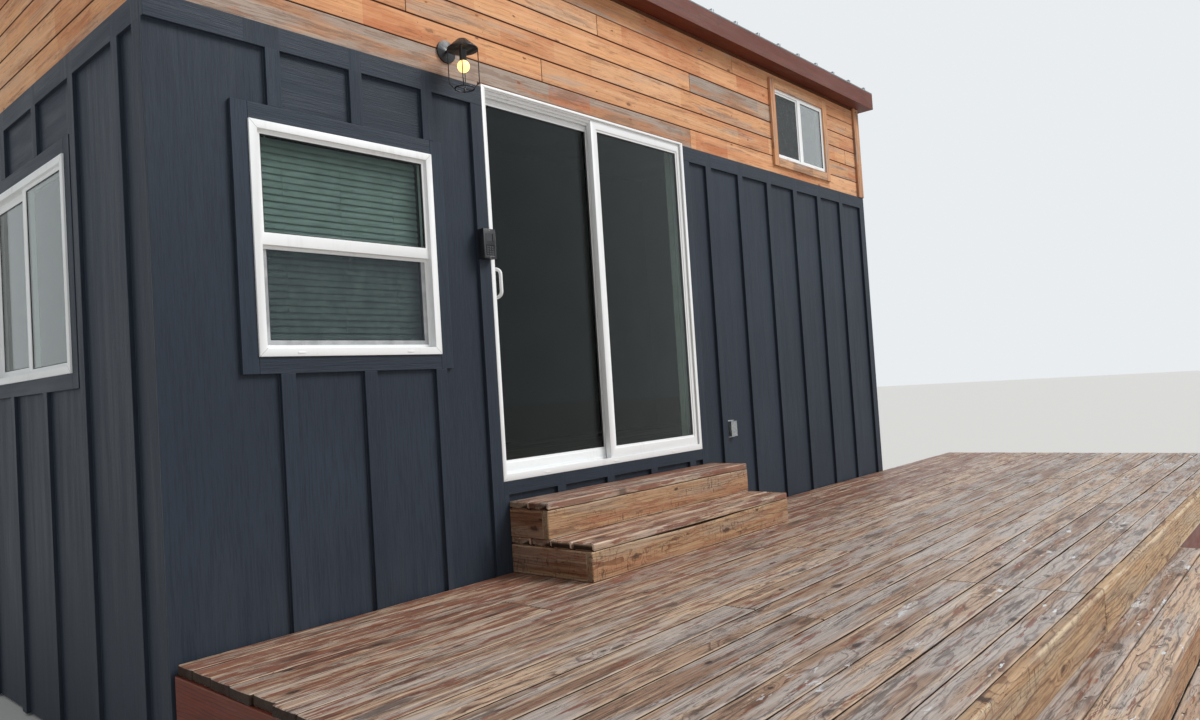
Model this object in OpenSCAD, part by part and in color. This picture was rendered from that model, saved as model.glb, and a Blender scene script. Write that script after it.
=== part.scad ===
// Timber clad container cabin with a sliding patio door, raised deck and steps.
// Inside every piece X runs along the front wall from its left corner, Y runs into the cabin
// from the face of the front trim, and Z starts at the top of the deck.

/* [Cabin] */
// Length of the clad cabin along the front
cabin_l = 6190; // [5900:10:7000]
// Depth of the clad cabin from front trim to back trim
cabin_d = 2570; // [2300:10:3200]
// Height of the steel box between its bottom rails and its roof
box_h = 2896; // [2850:1:3100]
// Depth of the floor build-up of the steel box
floor_build = 170; // [120:1:200]
// Thickness of the lined walls behind the cladding
wall_t = 100; // [60:1:150]
// Thickness of the floor boards inside
floor_t = 28; // [18:1:40]
// Thickness of the roof of the box with its lined ceiling
ceiling_t = 86; // [50:1:120]

/* [Cladding] */
// Thickness of the dark siding panels
panel_t = 12; // [9:1:16]
// Thickness of battens, casings and corner boards
trim_t = 19; // [15:1:25]
// Width of a batten
batten_w = 64; // [45:1:90]
// Spacing of the battens from the door to the right corner
batten_pitch = 408; // [300:1:450]
// Left edge of the first batten right of the door
batten_x = 3650; // [3560:1:3700]
// Spacing of the battens round the front window
left_batten_pitch = 390; // [350:1:420]
// Left edge of the first batten at the left corner
left_batten_x = 472; // [420:1:520]
// Spacing of the battens on both end walls
end_batten_pitch = 500; // [350:1:600]
// Width of the corner boards
corner_w = 90; // [70:1:110]
// Height of the line where dark siding meets the planks, above the deck
border_z = 2470; // [2440:1:2500]
// Height of the dark frieze board under that line
frieze_h = 99; // [80:1:120]
// Height of the flat board under the door sill
apron_h = 68; // [50:1:90]
// Height of one plank row with its joint
plank_pitch = 131.5; // [110:0.5:160]
// Open joint between two plank rows
plank_gap = 4; // [2:1:8]
// Thickness of the planks
plank_t = 19; // [15:1:25]
// Height of the soffit above the top of the steel box
soffit_rise = 99; // [60:1:200]
// Gap between the siding and the ground
siding_gap = 12; // [5:1:40]

/* [Roof] */
// Overhang of the roof on all sides
roof_over = 110; // [60:1:250]
// Thickness of the soffit boards
soffit_t = 12; // [9:1:20]
// Height of the fascia at the front
fascia_h = 140; // [110:1:200]
// Thickness of the fascia boards
fascia_t = 19; // [15:1:25]
// Fall of the roof from front to back
roof_fall = 60; // [20:1:90]
// Thickness of the metal roof sheet with its edge
sheet_t = 12; // [6:1:20]
// Height of a roof rib
rib_h = 19; // [10:1:40]
// Width of a roof rib
rib_w = 28; // [15:1:50]
// Spacing of the roof ribs
rib_pitch = 305; // [200:1:500]

/* [Sliding door] */
// Left edge of the door frame
door_x = 1633; // [1600:1:1660]
// Width of the door frame
door_w = 1752; // [1700:1:1800]
// Height of the door frame
door_h = 2030; // [1980:1:2060]
// Height of the underside of the door frame above the deck
door_z = 455; // [430:1:480]
// Depth of the door frame
door_frame_d = 115; // [105:1:130]
// How far the door frame stands proud of the trim
door_proud = 2; // [1:1:12]
// Thickness of the frame body round the panels
door_body_t = 8; // [8:1:12]
// Width of the front lip at the jambs
door_lip_w = 25; // [20:1:30]
// Height of the front lip at the head
head_lip_h = 13; // [12:1:25]
// Height of the front lip at the sill
sill_lip_h = 35; // [30:1:38]
// Thickness of the front lip of the frame
door_lip_t = 10; // [6:1:14]
// Drop of each step of the filler under the head
head_step = 13; // [8:1:14]
// Height of the sill body
sill_h = 20; // [15:1:35]
// Thickness of a glazed panel
leaf_t = 35; // [30:1:40]
// Width of the stiles of a panel
stile_w = 58; // [50:1:70]
// Height of the rails of the moving panel
rail_h = 64; // [50:1:90]
// Width of the glazing beads
bead_w = 13; // [13:1:18]
// Step from the face of a panel back to its glazing beads
bead_in = 5; // [3:1:6]
// Overlap of the two meeting stiles
meeting_overlap = 58; // [50:1:70]
// Gap between the moving panel and everything round it
leaf_gap = 5; // [5:1:8]
// Gap between the fixed and the moving panel
track_gap = 8; // [6:1:12]
// Height of the rail that the rollers run on
track_h = 10; // [6:1:14]
// Thickness of the glass units
glass_t = 18; // [12:1:24]
// Radius of the rollers
roller_r = 14; // [10:1:18]
// Height of the pull handle
pull_h = 164; // [120:1:220]
// Reach of the pull handle from its feet
pull_reach = 54; // [44:1:58]
// Angle of the pull handle towards the glass
pull_turn = 20; // [0:1:25]
// Height of the middle of the pull handle above the deck
pull_z = 1465; // [1300:1:1600]

/* [Front window] */
// Left edge of the front window frame
win_x = 383; // [380:1:400]
// Width of the front window frame
win_w = 904; // [860:1:910]
// Height of the underside of the front window frame
win_z = 1103; // [1050:1:1150]
// Height of the front window frame
win_h = 958; // [900:1:1000]
// Width of the casing boards round windows and door
casing_w = 69; // [60:1:72]
// Width of the left casing of the door
door_casing_w = 75; // [60:1:90]
// Face width of the window frames
win_face = 34; // [25:1:45]
// Depth of the window frames
win_frame_d = 82; // [70:1:95]
// How far the window frames stand proud of the trim
win_proud = 8; // [4:1:15]
// Width of the sash members
sash_w = 34; // [25:1:45]
// Height of the meeting rail
meeting_h = 50; // [40:1:60]
// Height of one slat of the blind with its gap
slat_pitch = 21; // [19:1:24]
// Width of a slat
slat_w = 25; // [22:1:30]
// Tilt of the nearly closed slats
slat_tilt = 62; // [45:1:70]

/* [Other windows] */
// Left edge of the small window frame
small_x = 4680; // [4600:1:4760]
// Width of the small window frame
small_w = 805; // [700:1:860]
// Height of the underside of the small window frame
small_z = 2600; // [2580:1:2620]
// Distance of the head of the small window below the top of the steel box
small_head = 31; // [20:1:80]
// Depth of the small window frame behind the front trim
small_in = 6; // [2:1:14]
// Face width of the small window frame
small_face = 20; // [16:1:34]
// Width of the sash members of the small window
small_sash = 24; // [20:1:34]
// Distance of the end window from the front trim
end_win_y = 900; // [800:1:950]
// Width of the end window frame
end_win_w = 1190; // [900:1:1200]

/* [Deck] */
// Length of the deck
deck_l = 7850; // [7200:10:9000]
// Depth of the deck from the trim to the face of its rim
deck_d = 2460; // [2100:1:3000]
// Width of a deck board
board_w = 140; // [120:1:150]
// Gap between deck boards
board_gap = 5.6; // [3:0.1:9]
// Thickness of deck boards, rim, treads and risers
board_t = 38; // [28:1:45]
// Width of the narrow board beside the wall
first_board_w = 119; // [90:1:140]
// Gap between the deck and the wall
deck_wall_gap = 5; // [3:1:12]
// Depth of the joists and beams
joist_d = 184; // [140:1:190]
// Spacing of the joists
joist_pitch = 406; // [300:1:500]
// Side of the square deck posts
post_s = 89; // [89:1:120]
// Height of the painted fascia under the deck edge
skirt_h = 235; // [180:1:240]

/* [Steps] */
// Rise of one step
step_rise = 178; // [165:1:200]
// Left end of the long front steps
long_x = 700; // [300:1:1200]
// Length of the long front steps
long_l = 3660; // [3000:1:4200]
// Run of one long step
long_run = 245; // [235:1:280]
// Left end of the entry steps
entry_x = 1655; // [1640:1:1750]
// Length of the entry steps
entry_l = 1830; // [1600:1:1900]
// Run of one entry step
entry_run = 275; // [262:1:290]
// Gap between the tread boards of the entry steps
tread_gap = 4.5; // [2:0.5:8]

/* [Fittings] */
// Middle of the lantern along the wall
lamp_x = 1425; // [1400:1:1480]
// Reach of the lantern from the trim face
lamp_reach = 118; // [100:1:150]
// Diameter of the lantern cage
lamp_d = 150; // [120:1:160]
// Diameter of the bottom ring of the lantern
lamp_ring_d = 98; // [80:1:110]
// Height of the bottom ring of the lantern
lamp_z = 2377; // [2372:1:2400]
// Height of the lantern cage
lamp_h = 197; // [150:1:220]
// Left edge of the key box
key_x = 1552; // [1500:1:1560]
// Width of the key box
key_w = 80; // [60:1:82]
// Height of the key box
key_h = 150; // [110:1:170]
// Depth of the key box
key_d = 48; // [35:1:60]
// Height of the underside of the key box
key_z = 1576; // [1500:1:1700]
// Left edge of the outlet cover
outlet_x = 3724; // [3716:1:3800]
// Width of the outlet cover
outlet_w = 84; // [70:1:90]
// Height of the outlet cover
outlet_h = 118; // [100:1:130]
// Height of the middle of the outlet cover
outlet_z = 560; // [480:1:640]

/* [Hidden] */

// Seat between pieces that rest on each other in one node
seat = 0.3;
deck_h = 3 * step_rise;
ground_z = -deck_h;
back_y = cabin_d;
right_x = cabin_l;
// Planes of the cladding, counted inwards from the outer trim face
skin = trim_t + panel_t;
in_wall = skin + wall_t;
siding_bottom = ground_z + siding_gap;
frieze_z = border_z - frieze_h;
plank_face = skin - plank_t;
cedar_face = plank_face - trim_t;

// Steel box levels
floor_top = door_z;
box_z = floor_top - floor_build;
box_top = box_z + box_h;
wall_top = box_top - ceiling_t;
soffit_z = box_top + soffit_rise;

// Whole outline, used to put the origin under its middle
x_lo = -roof_over;
x_hi = max(deck_l, cabin_l + roof_over);
y_lo = -(deck_d + 2 * long_run);
y_hi = cabin_d + roof_over;
mid_x = (x_lo + x_hi) / 2;
mid_y = (y_lo + y_hi) / 2;

// Door planes and panels
door_top = door_z + door_h;
door_right = door_x + door_w;
door_face = -door_proud;
lip_back = door_face + door_lip_t;
fixed_y = lip_back + 3;
slide_y = fixed_y + leaf_t + track_gap;
door_in_l = door_x + door_body_t;
door_in_r = door_right - door_body_t;
door_in_z = door_z + sill_h;
door_in_top = door_top - door_body_t;
slide_x = door_in_l + leaf_gap;
leaf_w = (door_in_r - slide_x + meeting_overlap) / 2;
fixed_x = door_in_r - leaf_w;
slide_z = door_in_z + track_h + leaf_gap;
slide_top = door_in_top - leaf_gap;
roller_w = 8;
glass_inset = (leaf_t - glass_t) / 2;
glass_lap = 12;
glass_z = slide_z + rail_h;
glass_top = slide_top - rail_h;

// Window levels
win_top = win_z + win_h;
win_right = win_x + win_w;
small_top = box_top - small_head;
small_h = small_top - small_z;
small_right = small_x + small_w;
win_glass_t = 14;
sash_t = 24;

// Deck levels
board_pitch = board_w + board_gap;
rim_in = -(deck_d - board_t);
joist_z = -board_t - seat - joist_d;
beam_z = joist_z - seat - joist_d;

module place() translate([-mid_x, -mid_y, deck_h]) children();

// Block between two opposite corners
module block(x0, x1, y0, y1, z0, z1) translate([x0, y0, z0]) cube([x1 - x0, y1 - y0, z1 - z0]);

// Turns a front wall piece to the back of the cabin
module to_back() translate([cabin_l, cabin_d, 0]) rotate([0, 0, 180]) children();

// Turns a piece drawn along the front to the left end, its X becoming the distance from the back
module to_left() translate([0, cabin_d, 0]) rotate([0, 0, -90]) children();

// Turns a piece drawn along the front to the right end, its X becoming the distance from the front
module to_right() translate([cabin_l, 0, 0]) rotate([0, 0, 90]) children();

// Flat ring with a rectangular hole, in a wall plane
module ring(x0, x1, z0, z1, left, right, low, top, y0, y1) {
  difference() {
    block(x0, x1, y0, y1, z0, z1);
    block(x0 + left, x1 - right, y0 - 1, y1 + 1, z0 + low, z1 - top);
  }
}

// Steel box

module piers() {
  pier = 400;
  inset = 250;
  color("gray")
    for (x = [skin + inset, cabin_l / 2 - pier / 2, cabin_l - skin - inset - pier])
      for (y = [skin, cabin_d - skin - pier])
        block(x, x + pier, y, y + pier, ground_z, box_z);
}

// Two long rails with cross members from end to end between them
module base_frame() {
  rail_w = 60;
  cross_w = 45;
  cross_n = 15;
  top = floor_top - floor_t;
  inner = skin + rail_w;
  pitch = (cabin_l - 2 * skin - cross_w) / cross_n;
  color("dimgray") {
    block(skin, cabin_l - skin, skin, inner, box_z, top);
    block(skin, cabin_l - skin, cabin_d - inner, cabin_d - skin, box_z, top);
    for (i = [0 : cross_n])
      translate([skin + i * pitch, 0, 0])
        block(0, cross_w, inner + seat, cabin_d - inner - seat, box_z, top);
  }
}

module floor()
  color("peru") block(skin, cabin_l - skin, skin, cabin_d - skin, floor_top - floor_t, floor_top);

module front_wall_left() {
  color("silver") difference() {
    block(skin, door_x, skin, in_wall, floor_top, box_top);
    block(win_x, win_right, skin - 1, in_wall + 1, win_z, win_top);
  }
}

module front_wall_right() {
  color("silver") difference() {
    block(door_right, cabin_l - skin, skin, in_wall, floor_top, box_top);
    block(small_x, small_right, skin - 1, in_wall + 1, small_z, small_top);
  }
}

module front_wall_over_door()
  color("silver") block(door_x, door_right, skin, in_wall, door_top, box_top);

module left_end_wall() {
  color("silver") difference() {
    block(skin, in_wall, in_wall, cabin_d - in_wall, floor_top, box_top);
    block(skin - 1, in_wall + 1, end_win_y, end_win_y + end_win_w, win_z, win_top);
  }
}

module right_end_wall()
  color("silver")
    block(cabin_l - in_wall, cabin_l - skin, in_wall, cabin_d - in_wall, floor_top, box_top);

module back_wall()
  color("silver")
    block(skin, cabin_l - skin, cabin_d - in_wall, cabin_d - skin, floor_top, box_top);

module ceiling()
  color("gainsboro")
    block(in_wall, cabin_l - in_wall, in_wall, cabin_d - in_wall, wall_top, box_top);

// Roof

// Height of the underside of the roof sheet at a distance from the front trim
function roof_z(y) = soffit_z + fascia_h - roof_fall * (y - y_front) / (y_hi - y_front);
y_front = -roof_over;

module roof_profile(x0, x1, points)
  translate([x0, 0, 0]) rotate([90, 0, 90]) linear_extrude(x1 - x0) polygon(points);

module roof_frame() {
  a = plank_face + plank_t;
  b = cabin_d - a;
  color("burlywood")
    roof_profile(skin, cabin_l - skin,
      [[a, box_top], [b, box_top], [b, roof_z(b) - seat], [a, roof_z(a) - seat]]);
}

module roof_metal() {
  rib_n = floor((cabin_l + 2 * roof_over - rib_w) / rib_pitch);
  start = (cabin_l - rib_n * rib_pitch - rib_w) / 2;
  z0 = roof_z(y_front);
  z1 = roof_z(y_hi);
  color("lightgray") union() {
    roof_profile(-roof_over, cabin_l + roof_over,
      [[y_front, z0], [y_hi, z1], [y_hi, z1 + sheet_t], [y_front, z0 + sheet_t]]);
    for (i = [0 : rib_n])
      roof_profile(start + i * rib_pitch, start + i * rib_pitch + rib_w, [
        [y_front, z0 + sheet_t - 1], [y_hi, z1 + sheet_t - 1],
        [y_hi, z1 + sheet_t + rib_h], [y_front, z0 + sheet_t + rib_h]
      ]);
  }
}

// Boxed eave: fascia boards round the roof and soffit boards back to the planks
module roof_fascia() {
  x0 = -roof_over;
  x1 = cabin_l + roof_over;
  color("saddlebrown") difference() {
    roof_profile(x0, x1,
      [[y_front, soffit_z], [y_hi, soffit_z], [y_hi, roof_z(y_hi)], [y_front, roof_z(y_front)]]);
    block(x0 + fascia_t, x1 - fascia_t, y_front + fascia_t, y_hi - fascia_t,
      soffit_z + soffit_t, soffit_z + fascia_h + 1);
    block(plank_face, cabin_l - plank_face, plank_face, cabin_d - plank_face,
      soffit_z - 1, soffit_z + soffit_t + 1);
  }
}

// Dark siding

// One siding panel with upright battens, drawn along the front
module batten_wall(x0, x1, z_top, battens, z_battens) {
  block(x0, x1, trim_t, skin, siding_bottom, z_top);
  for (x = battens)
    block(x, x + batten_w, 0, trim_t, siding_bottom, z_battens);
}

module frieze(x0, x1) block(x0, x1, 0, trim_t, frieze_z, border_z);

module front_siding_left() {
  left_battens = [for (i = [0 : 2]) left_batten_x + i * left_batten_pitch];
  casing_low = win_z - casing_w;
  casing_top = win_top + casing_w;
  color("darkslategray") difference() {
    union() {
      batten_wall(0, door_x, border_z, left_battens, casing_low);
      for (x = left_battens)
        block(x, x + batten_w, 0, trim_t, casing_top, frieze_z);
      frieze(0, door_x);
    }
    block(win_x, win_right, -1, skin + 1, win_z, win_top);
    block(door_x - door_casing_w, door_x, -1, trim_t, siding_bottom - 1, frieze_z);
  }
}

module front_siding_right() {
  n = floor((cabin_l - corner_w - batten_w - batten_x) / batten_pitch);
  color("darkslategray") union() {
    batten_wall(door_right, cabin_l, border_z,
      [for (i = [0 : n]) batten_x + i * batten_pitch], frieze_z);
    block(cabin_l - corner_w, cabin_l, 0, trim_t, siding_bottom, frieze_z);
    frieze(door_right, cabin_l);
  }
}

module front_siding_base() {
  battens = [for (i = [4 : -1 : 1]) batten_x - i * batten_pitch];
  color("darkslategray") union() {
    batten_wall(door_x, door_right, door_z, battens, door_z - apron_h);
    block(door_x, door_x + batten_w / 2, 0, trim_t, siding_bottom, door_z - apron_h);
    block(door_x, door_right, 0, trim_t, door_z - apron_h, door_z);
  }
}

// Battens of a closed wall, spaced from its first corner
module plain_siding(length, pitch) {
  n = floor((length - 2 * corner_w - batten_w) / pitch);
  first = (length - n * pitch - batten_w) / 2;
  batten_wall(skin, length - skin, border_z, [for (i = [0 : n]) first + i * pitch], frieze_z);
  block(skin, trim_t + corner_w, 0, trim_t, siding_bottom, frieze_z);
  block(length - trim_t - corner_w, length - skin, 0, trim_t, siding_bottom, frieze_z);
  frieze(skin, length - skin);
}

module left_end_siding() {
  w0 = cabin_d - end_win_y - end_win_w;
  color("darkslategray") to_left() difference() {
    plain_siding(cabin_d, end_batten_pitch);
    block(w0, w0 + end_win_w, -1, skin + 1, win_z, win_top);
    block(w0 - casing_w, w0 + end_win_w + casing_w, -1, trim_t, win_z - casing_w, win_top + casing_w);
  }
}

module right_end_siding()
  color("darkslategray") to_right() plain_siding(cabin_d, end_batten_pitch);

module back_siding() {
  n = floor((cabin_l - 2 * corner_w - batten_w) / batten_pitch);
  first = (cabin_l - n * batten_pitch - batten_w) / 2;
  color("darkslategray") to_back() union() {
    batten_wall(0, cabin_l, border_z, [for (i = [0 : n]) first + i * batten_pitch], frieze_z);
    block(0, corner_w, 0, trim_t, siding_bottom, frieze_z);
    block(cabin_l - corner_w, cabin_l, 0, trim_t, siding_bottom, frieze_z);
    frieze(0, cabin_l);
  }
}

// Upper planks

// Rows of planks from the border up to the soffit
module plank_rows(x0, x1) {
  rows = ceil((soffit_z - border_z) / plank_pitch);
  for (i = [0 : rows - 1]) {
    z0 = border_z + i * plank_pitch + (i == 0 ? 0 : plank_gap);
    z1 = min(border_z + (i + 1) * plank_pitch, soffit_z);
    block(x0, x1, plank_face, skin, z0, z1);
  }
}

module front_planks() {
  reveal = 12;
  color("sandybrown") difference() {
    plank_rows(plank_face, cabin_l - plank_face);
    block(small_x, small_right, 0, skin + 1, small_z, small_top);
    block(door_x - reveal, door_right + reveal, 0, skin + 1, border_z - 1, door_top + reveal);
  }
}

module left_end_planks()
  color("sandybrown") to_left() plank_rows(skin, cabin_d - skin);

module right_end_planks()
  color("sandybrown") to_right() plank_rows(skin, cabin_d - skin);

module back_planks()
  color("sandybrown") to_back() plank_rows(plank_face, cabin_l - plank_face);

// Two cedar corner boards at the left end of the front wall
module cedar_corner() {
  block(cedar_face, corner_w, cedar_face, plank_face, border_z, soffit_z);
  block(cedar_face, plank_face, plank_face + seat, corner_w, border_z, soffit_z);
}

// Four casing boards round an opening, the sides running past the head and the sill
module casing(x0, x1, z0, z1, y0, y1) {
  for (x = [x0 - casing_w, x1])
    block(x, x + casing_w, y0, y1, z0 - casing_w, z1 + casing_w);
  for (z = [z0 - casing_w, z1])
    block(x0 + seat, x1 - seat, y0, y1, z, z + casing_w);
}

module cedar_trim() {
  color("peru") {
    cedar_corner();
    translate([cabin_l, 0, 0]) mirror([1, 0, 0]) cedar_corner();
    translate([0, cabin_d, 0]) mirror([0, 1, 0]) cedar_corner();
    translate([cabin_l, cabin_d, 0]) mirror([1, 0, 0]) mirror([0, 1, 0]) cedar_corner();
    casing(small_x, small_right, small_z, small_top, cedar_face, plank_face);
  }
}

module black_casings() {
  w0 = cabin_d - end_win_y - end_win_w;
  color("darkslategray") {
    casing(win_x, win_right, win_z, win_top, 0, trim_t);
    block(door_x - door_casing_w, door_x, 0, trim_t, siding_bottom, frieze_z);
    block(door_right, door_right + casing_w, 0, trim_t, siding_bottom, frieze_z);
    to_left() casing(w0, w0 + end_win_w, win_z, win_top, 0, trim_t);
  }
}

// Sliding door

// Frame with a front lip, a stepped filler under the head and the rail that the rollers run on
module door_frame() {
  depth_end = door_face + door_frame_d;
  step_n = 3;
  filler_end = slide_y - leaf_gap - 2;
  step_d = (filler_end - lip_back) / step_n;
  track_y = slide_y + leaf_t / 2;
  color("white") union() {
    ring(door_x, door_right, door_z, door_top, door_body_t, door_body_t, sill_h, door_body_t,
      door_face, depth_end);
    ring(door_x, door_right, door_z, door_top, door_lip_w, door_lip_w, sill_lip_h, head_lip_h,
      door_face, lip_back);
    for (i = [0 : step_n - 1])
      block(door_in_l - 1, fixed_x - seat, lip_back + i * step_d, filler_end,
        door_in_top - (i + 1) * head_step, door_in_top + 1);
    block(door_x, door_right, track_y - 3, track_y + 3, door_in_z - 1, door_in_z + track_h);
  }
}

// Space between the stiles and rails of a panel, grown on all sides by a lap
module leaf_space(x, y0, y1, lap)
  block(x + stile_w - lap, x + leaf_w - stile_w + lap, y0, y1, glass_z - lap, glass_top + lap);

module leaf_rebate(x, y)
  leaf_space(x, y + glass_inset, y + glass_inset + glass_t, glass_lap);

// Stiles and rails of one glazed panel, with beads set back on both faces and a rebate for the glass
module leaf(x, y, z0, z1) {
  difference() {
    block(x, x + leaf_w, y, y + leaf_t, z0, z1);
    leaf_space(x, y - 1, y + leaf_t + 1, 0);
    leaf_space(x, y - 1, y + bead_in, bead_w);
    leaf_space(x, y + leaf_t - bead_in, y + leaf_t + 1, bead_w);
    leaf_rebate(x, y);
  }
}

module fixed_panel()
  color("white") leaf(fixed_x, fixed_y, door_in_z, door_in_top);

module sliding_panel() {
  roller_y = slide_y + leaf_t / 2;
  roller_z = door_in_z + track_h + seat + roller_r;
  color("white") union() {
    leaf(slide_x, slide_y, slide_z, slide_top);
    for (x = [slide_x + 2 * stile_w, slide_x + leaf_w - 2 * stile_w])
      translate([x, roller_y - roller_w / 2, roller_z])
        rotate([-90, 0, 0]) cylinder(r = roller_r, h = roller_w, $fn = 48);
  }
}

module sliding_glass()
  color("lightblue", 0.4) leaf_rebate(slide_x, slide_y);

// D shaped pull on two feet, leaning towards the glass, on a flat escutcheon with a thumb lever
module door_handle() {
  bar_r = 9;
  bend_r = 30;
  foot_r = 12;
  x = slide_x + stile_w / 2;
  plate_t = 3;
  plate_w = 34;
  out = slide_y - plate_t;
  foot_h = 6;
  color("white") union() {
    block(x - plate_w / 2, x + plate_w / 2, out, slide_y, pull_z - pull_h / 2 - 16,
      pull_z + pull_h / 2 + 16);
    translate([x - 6, out - 11, pull_z - 42]) cube([12, 12, 34]);
    for (s = [-1, 1])
      translate([x, out + 1, pull_z + s * (pull_h / 2 - bar_r)])
        rotate([90, 0, 0]) cylinder(r = foot_r, h = foot_h + 1, $fn = 32);
    translate([x, out - 1, pull_z]) rotate([0, 0, pull_turn]) {
      for (s = [-1, 1])
        translate([0, 0, s * (pull_h / 2 - bar_r)])
          rotate([90, 0, 0]) cylinder(r = bar_r, h = pull_reach - bend_r, $fn = 32);
      for (s = [-1, 1])
        translate([0, bend_r - pull_reach, s * (pull_h / 2 - bar_r - bend_r)])
          rotate([0, -90, 0]) rotate([0, 0, s == 1 ? 270 : 180])
            rotate_extrude(angle = 90, $fn = 64) translate([bend_r, 0]) circle(r = bar_r, $fn = 32);
      translate([0, -pull_reach, bar_r + bend_r - pull_h / 2])
        cylinder(r = bar_r, h = pull_h - 2 * bar_r - 2 * bend_r, $fn = 32);
    }
  }
}

// Windows

// Frame of a window in the front plane, without sashes
module window_frame(x, z, w, h, face, front)
  ring(x, x + w, z, z + h, face, face, face, face, front, win_frame_d - win_proud);

sash_y = skin;

// Single hung window: fixed upper light and a lower sash set further in
module single_hung(x, z, w, h) {
  mid = z + h / 2;
  window_frame(x, z, w, h, win_face, -win_proud);
  ring(x + win_face, x + w - win_face, mid - meeting_h / 2, z + h - win_face,
    sash_w / 2, sash_w / 2, meeting_h, sash_w / 2, sash_y - sash_t, sash_y);
  ring(x + win_face, x + w - win_face, z + win_face, mid + meeting_h / 2,
    sash_w, sash_w, sash_w, meeting_h, sash_y, sash_y + sash_t);
}

// Horizontal slider: two lights with one meeting stile
module slider(x, z, w, h, face, sash, front) {
  mid = x + w / 2;
  window_frame(x, z, w, h, face, front);
  ring(mid - meeting_h / 2, x + w - face, z + face, z + h - face,
    meeting_h, sash / 2, sash / 2, sash / 2, sash_y - sash_t, sash_y);
  ring(x + face, mid + meeting_h / 2, z + face, z + h - face,
    sash, meeting_h, sash, sash, sash_y, sash_y + sash_t);
}

module front_window() color("white") single_hung(win_x, win_z, win_w, win_h);

module end_window()
  color("white") to_left()
    slider(cabin_d - end_win_y - end_win_w, win_z, end_win_w, win_h, win_face, sash_w, -win_proud);

module small_window()
  color("white") slider(small_x, small_z, small_w, small_h, small_face, small_sash, small_in);

// Two panes of a single hung window
module hung_panes(x, z, w, h) {
  mid = z + h / 2;
  in_l = x + win_face;
  in_r = x + w - win_face;
  o = (sash_t - win_glass_t) / 2;
  block(in_l + sash_w / 2, in_r - sash_w / 2, sash_y - sash_t + o, sash_y - o,
    mid + meeting_h / 2, z + h - win_face - sash_w / 2);
  block(in_l + sash_w, in_r - sash_w, sash_y + o, sash_y + sash_t - o,
    z + win_face + sash_w, mid - meeting_h / 2);
}

// Two panes of a slider
module slider_panes(x, z, w, h, face, sash) {
  mid = x + w / 2;
  low = z + face;
  high = z + h - face;
  o = (sash_t - win_glass_t) / 2;
  block(mid + meeting_h / 2, x + w - face - sash / 2, sash_y - sash_t + o, sash_y - o,
    low + sash / 2, high - sash / 2);
  block(x + face + sash, mid - meeting_h / 2, sash_y + o, sash_y + sash_t - o,
    low + sash, high - sash);
}

module fixed_glass() {
  color("lightblue", 0.4) {
    leaf_rebate(fixed_x, fixed_y);
    hung_panes(win_x, win_z, win_w, win_h);
    slider_panes(small_x, small_z, small_w, small_h, small_face, small_sash);
    to_left()
      slider_panes(cabin_d - end_win_y - end_win_w, win_z, end_win_w, win_h, win_face, sash_w);
  }
}

// Blind of narrow tilted slats on two cords, hung from the head of the front window opening
module window_blind() {
  slat_t = 1.5;
  rail = 25;
  side = win_face + 6;
  cord_w = 2;
  x0 = win_x + side;
  x1 = win_right - side;
  y0 = win_frame_d - win_proud + 4;
  mid_y = y0 + rail / 2;
  top = win_top - seat;
  count = floor((win_h - rail) / slat_pitch) - 1;
  low = top - rail - count * slat_pitch;
  color("honeydew") union() {
    block(x0, x1, y0, y0 + rail, top - rail, top);
    for (i = [1 : count - 1])
      translate([x0, mid_y, top - rail - i * slat_pitch]) rotate([slat_tilt, 0, 0])
        translate([0, -slat_w / 2, -slat_t / 2]) cube([x1 - x0, slat_w, slat_t]);
    block(x0, x1, mid_y - 6, mid_y + 6, low - 5, low + 5);
    for (x = [x0 + (x1 - x0) / 6, x0 + (x1 - x0) * 5 / 6])
      block(x, x + cord_w, mid_y - cord_w / 2, mid_y + cord_w / 2, low, top - rail + 1);
  }
}

// Fittings

// Round cage lantern: wall plate, arm, cap, cage bars that turn in to a bottom ring, and bulb
module wall_lantern() {
  wire = 5;
  plate_d = 110;
  plate_t = 10;
  cap_h = 45;
  arm_r = 7;
  bar_n = 4;
  waist = 28;
  cage_r = (lamp_d - wire) / 2;
  ring_r = (lamp_ring_d - wire) / 2;
  lean = atan2(cage_r - ring_r, waist);
  top = lamp_z + lamp_h;
  color("black") union() {
    translate([lamp_x, 0, top + cap_h / 2])
      rotate([90, 0, 0]) translate([0, 0, -plank_face]) cylinder(d = plate_d, h = plate_t, $fn = 48);
    translate([lamp_x, plank_face - plate_t + 1, top + cap_h / 2])
      rotate([90, 0, 0]) cylinder(r = arm_r, h = lamp_reach + plank_face - plate_t, $fn = 24);
    translate([lamp_x, -lamp_reach, 0]) {
      translate([0, 0, top]) rotate_extrude($fn = 48)
        polygon([[0, -wire], [lamp_d / 2, -wire], [lamp_d / 2, 0], [24, cap_h], [0, cap_h]]);
      translate([0, 0, lamp_z]) rotate_extrude($fn = 48)
        translate([ring_r - wire / 2, 0]) square([wire, wire]);
      for (i = [0 : bar_n - 1])
        rotate([0, 0, 45 + i * 360 / bar_n]) {
          translate([cage_r, 0, lamp_z + waist]) {
            cylinder(d = wire, h = lamp_h - waist, $fn = 16);
            sphere(d = wire, $fn = 16);
          }
          translate([ring_r, 0, lamp_z + wire / 2]) rotate([0, lean, 0])
            cylinder(d = wire, h = waist / cos(lean) - wire / 2, $fn = 16);
        }
      translate([-ring_r, -wire / 2, lamp_z]) cube([2 * ring_r, wire, wire]);
      translate([0, 0, lamp_z - 18]) cylinder(d = 10, h = 20, $fn = 24);
      translate([0, 0, top - 60]) cylinder(d = 34, h = 60, $fn = 32);
      translate([0, 0, top - 86]) sphere(d = 60, $fn = 32);
    }
  }
}

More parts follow.
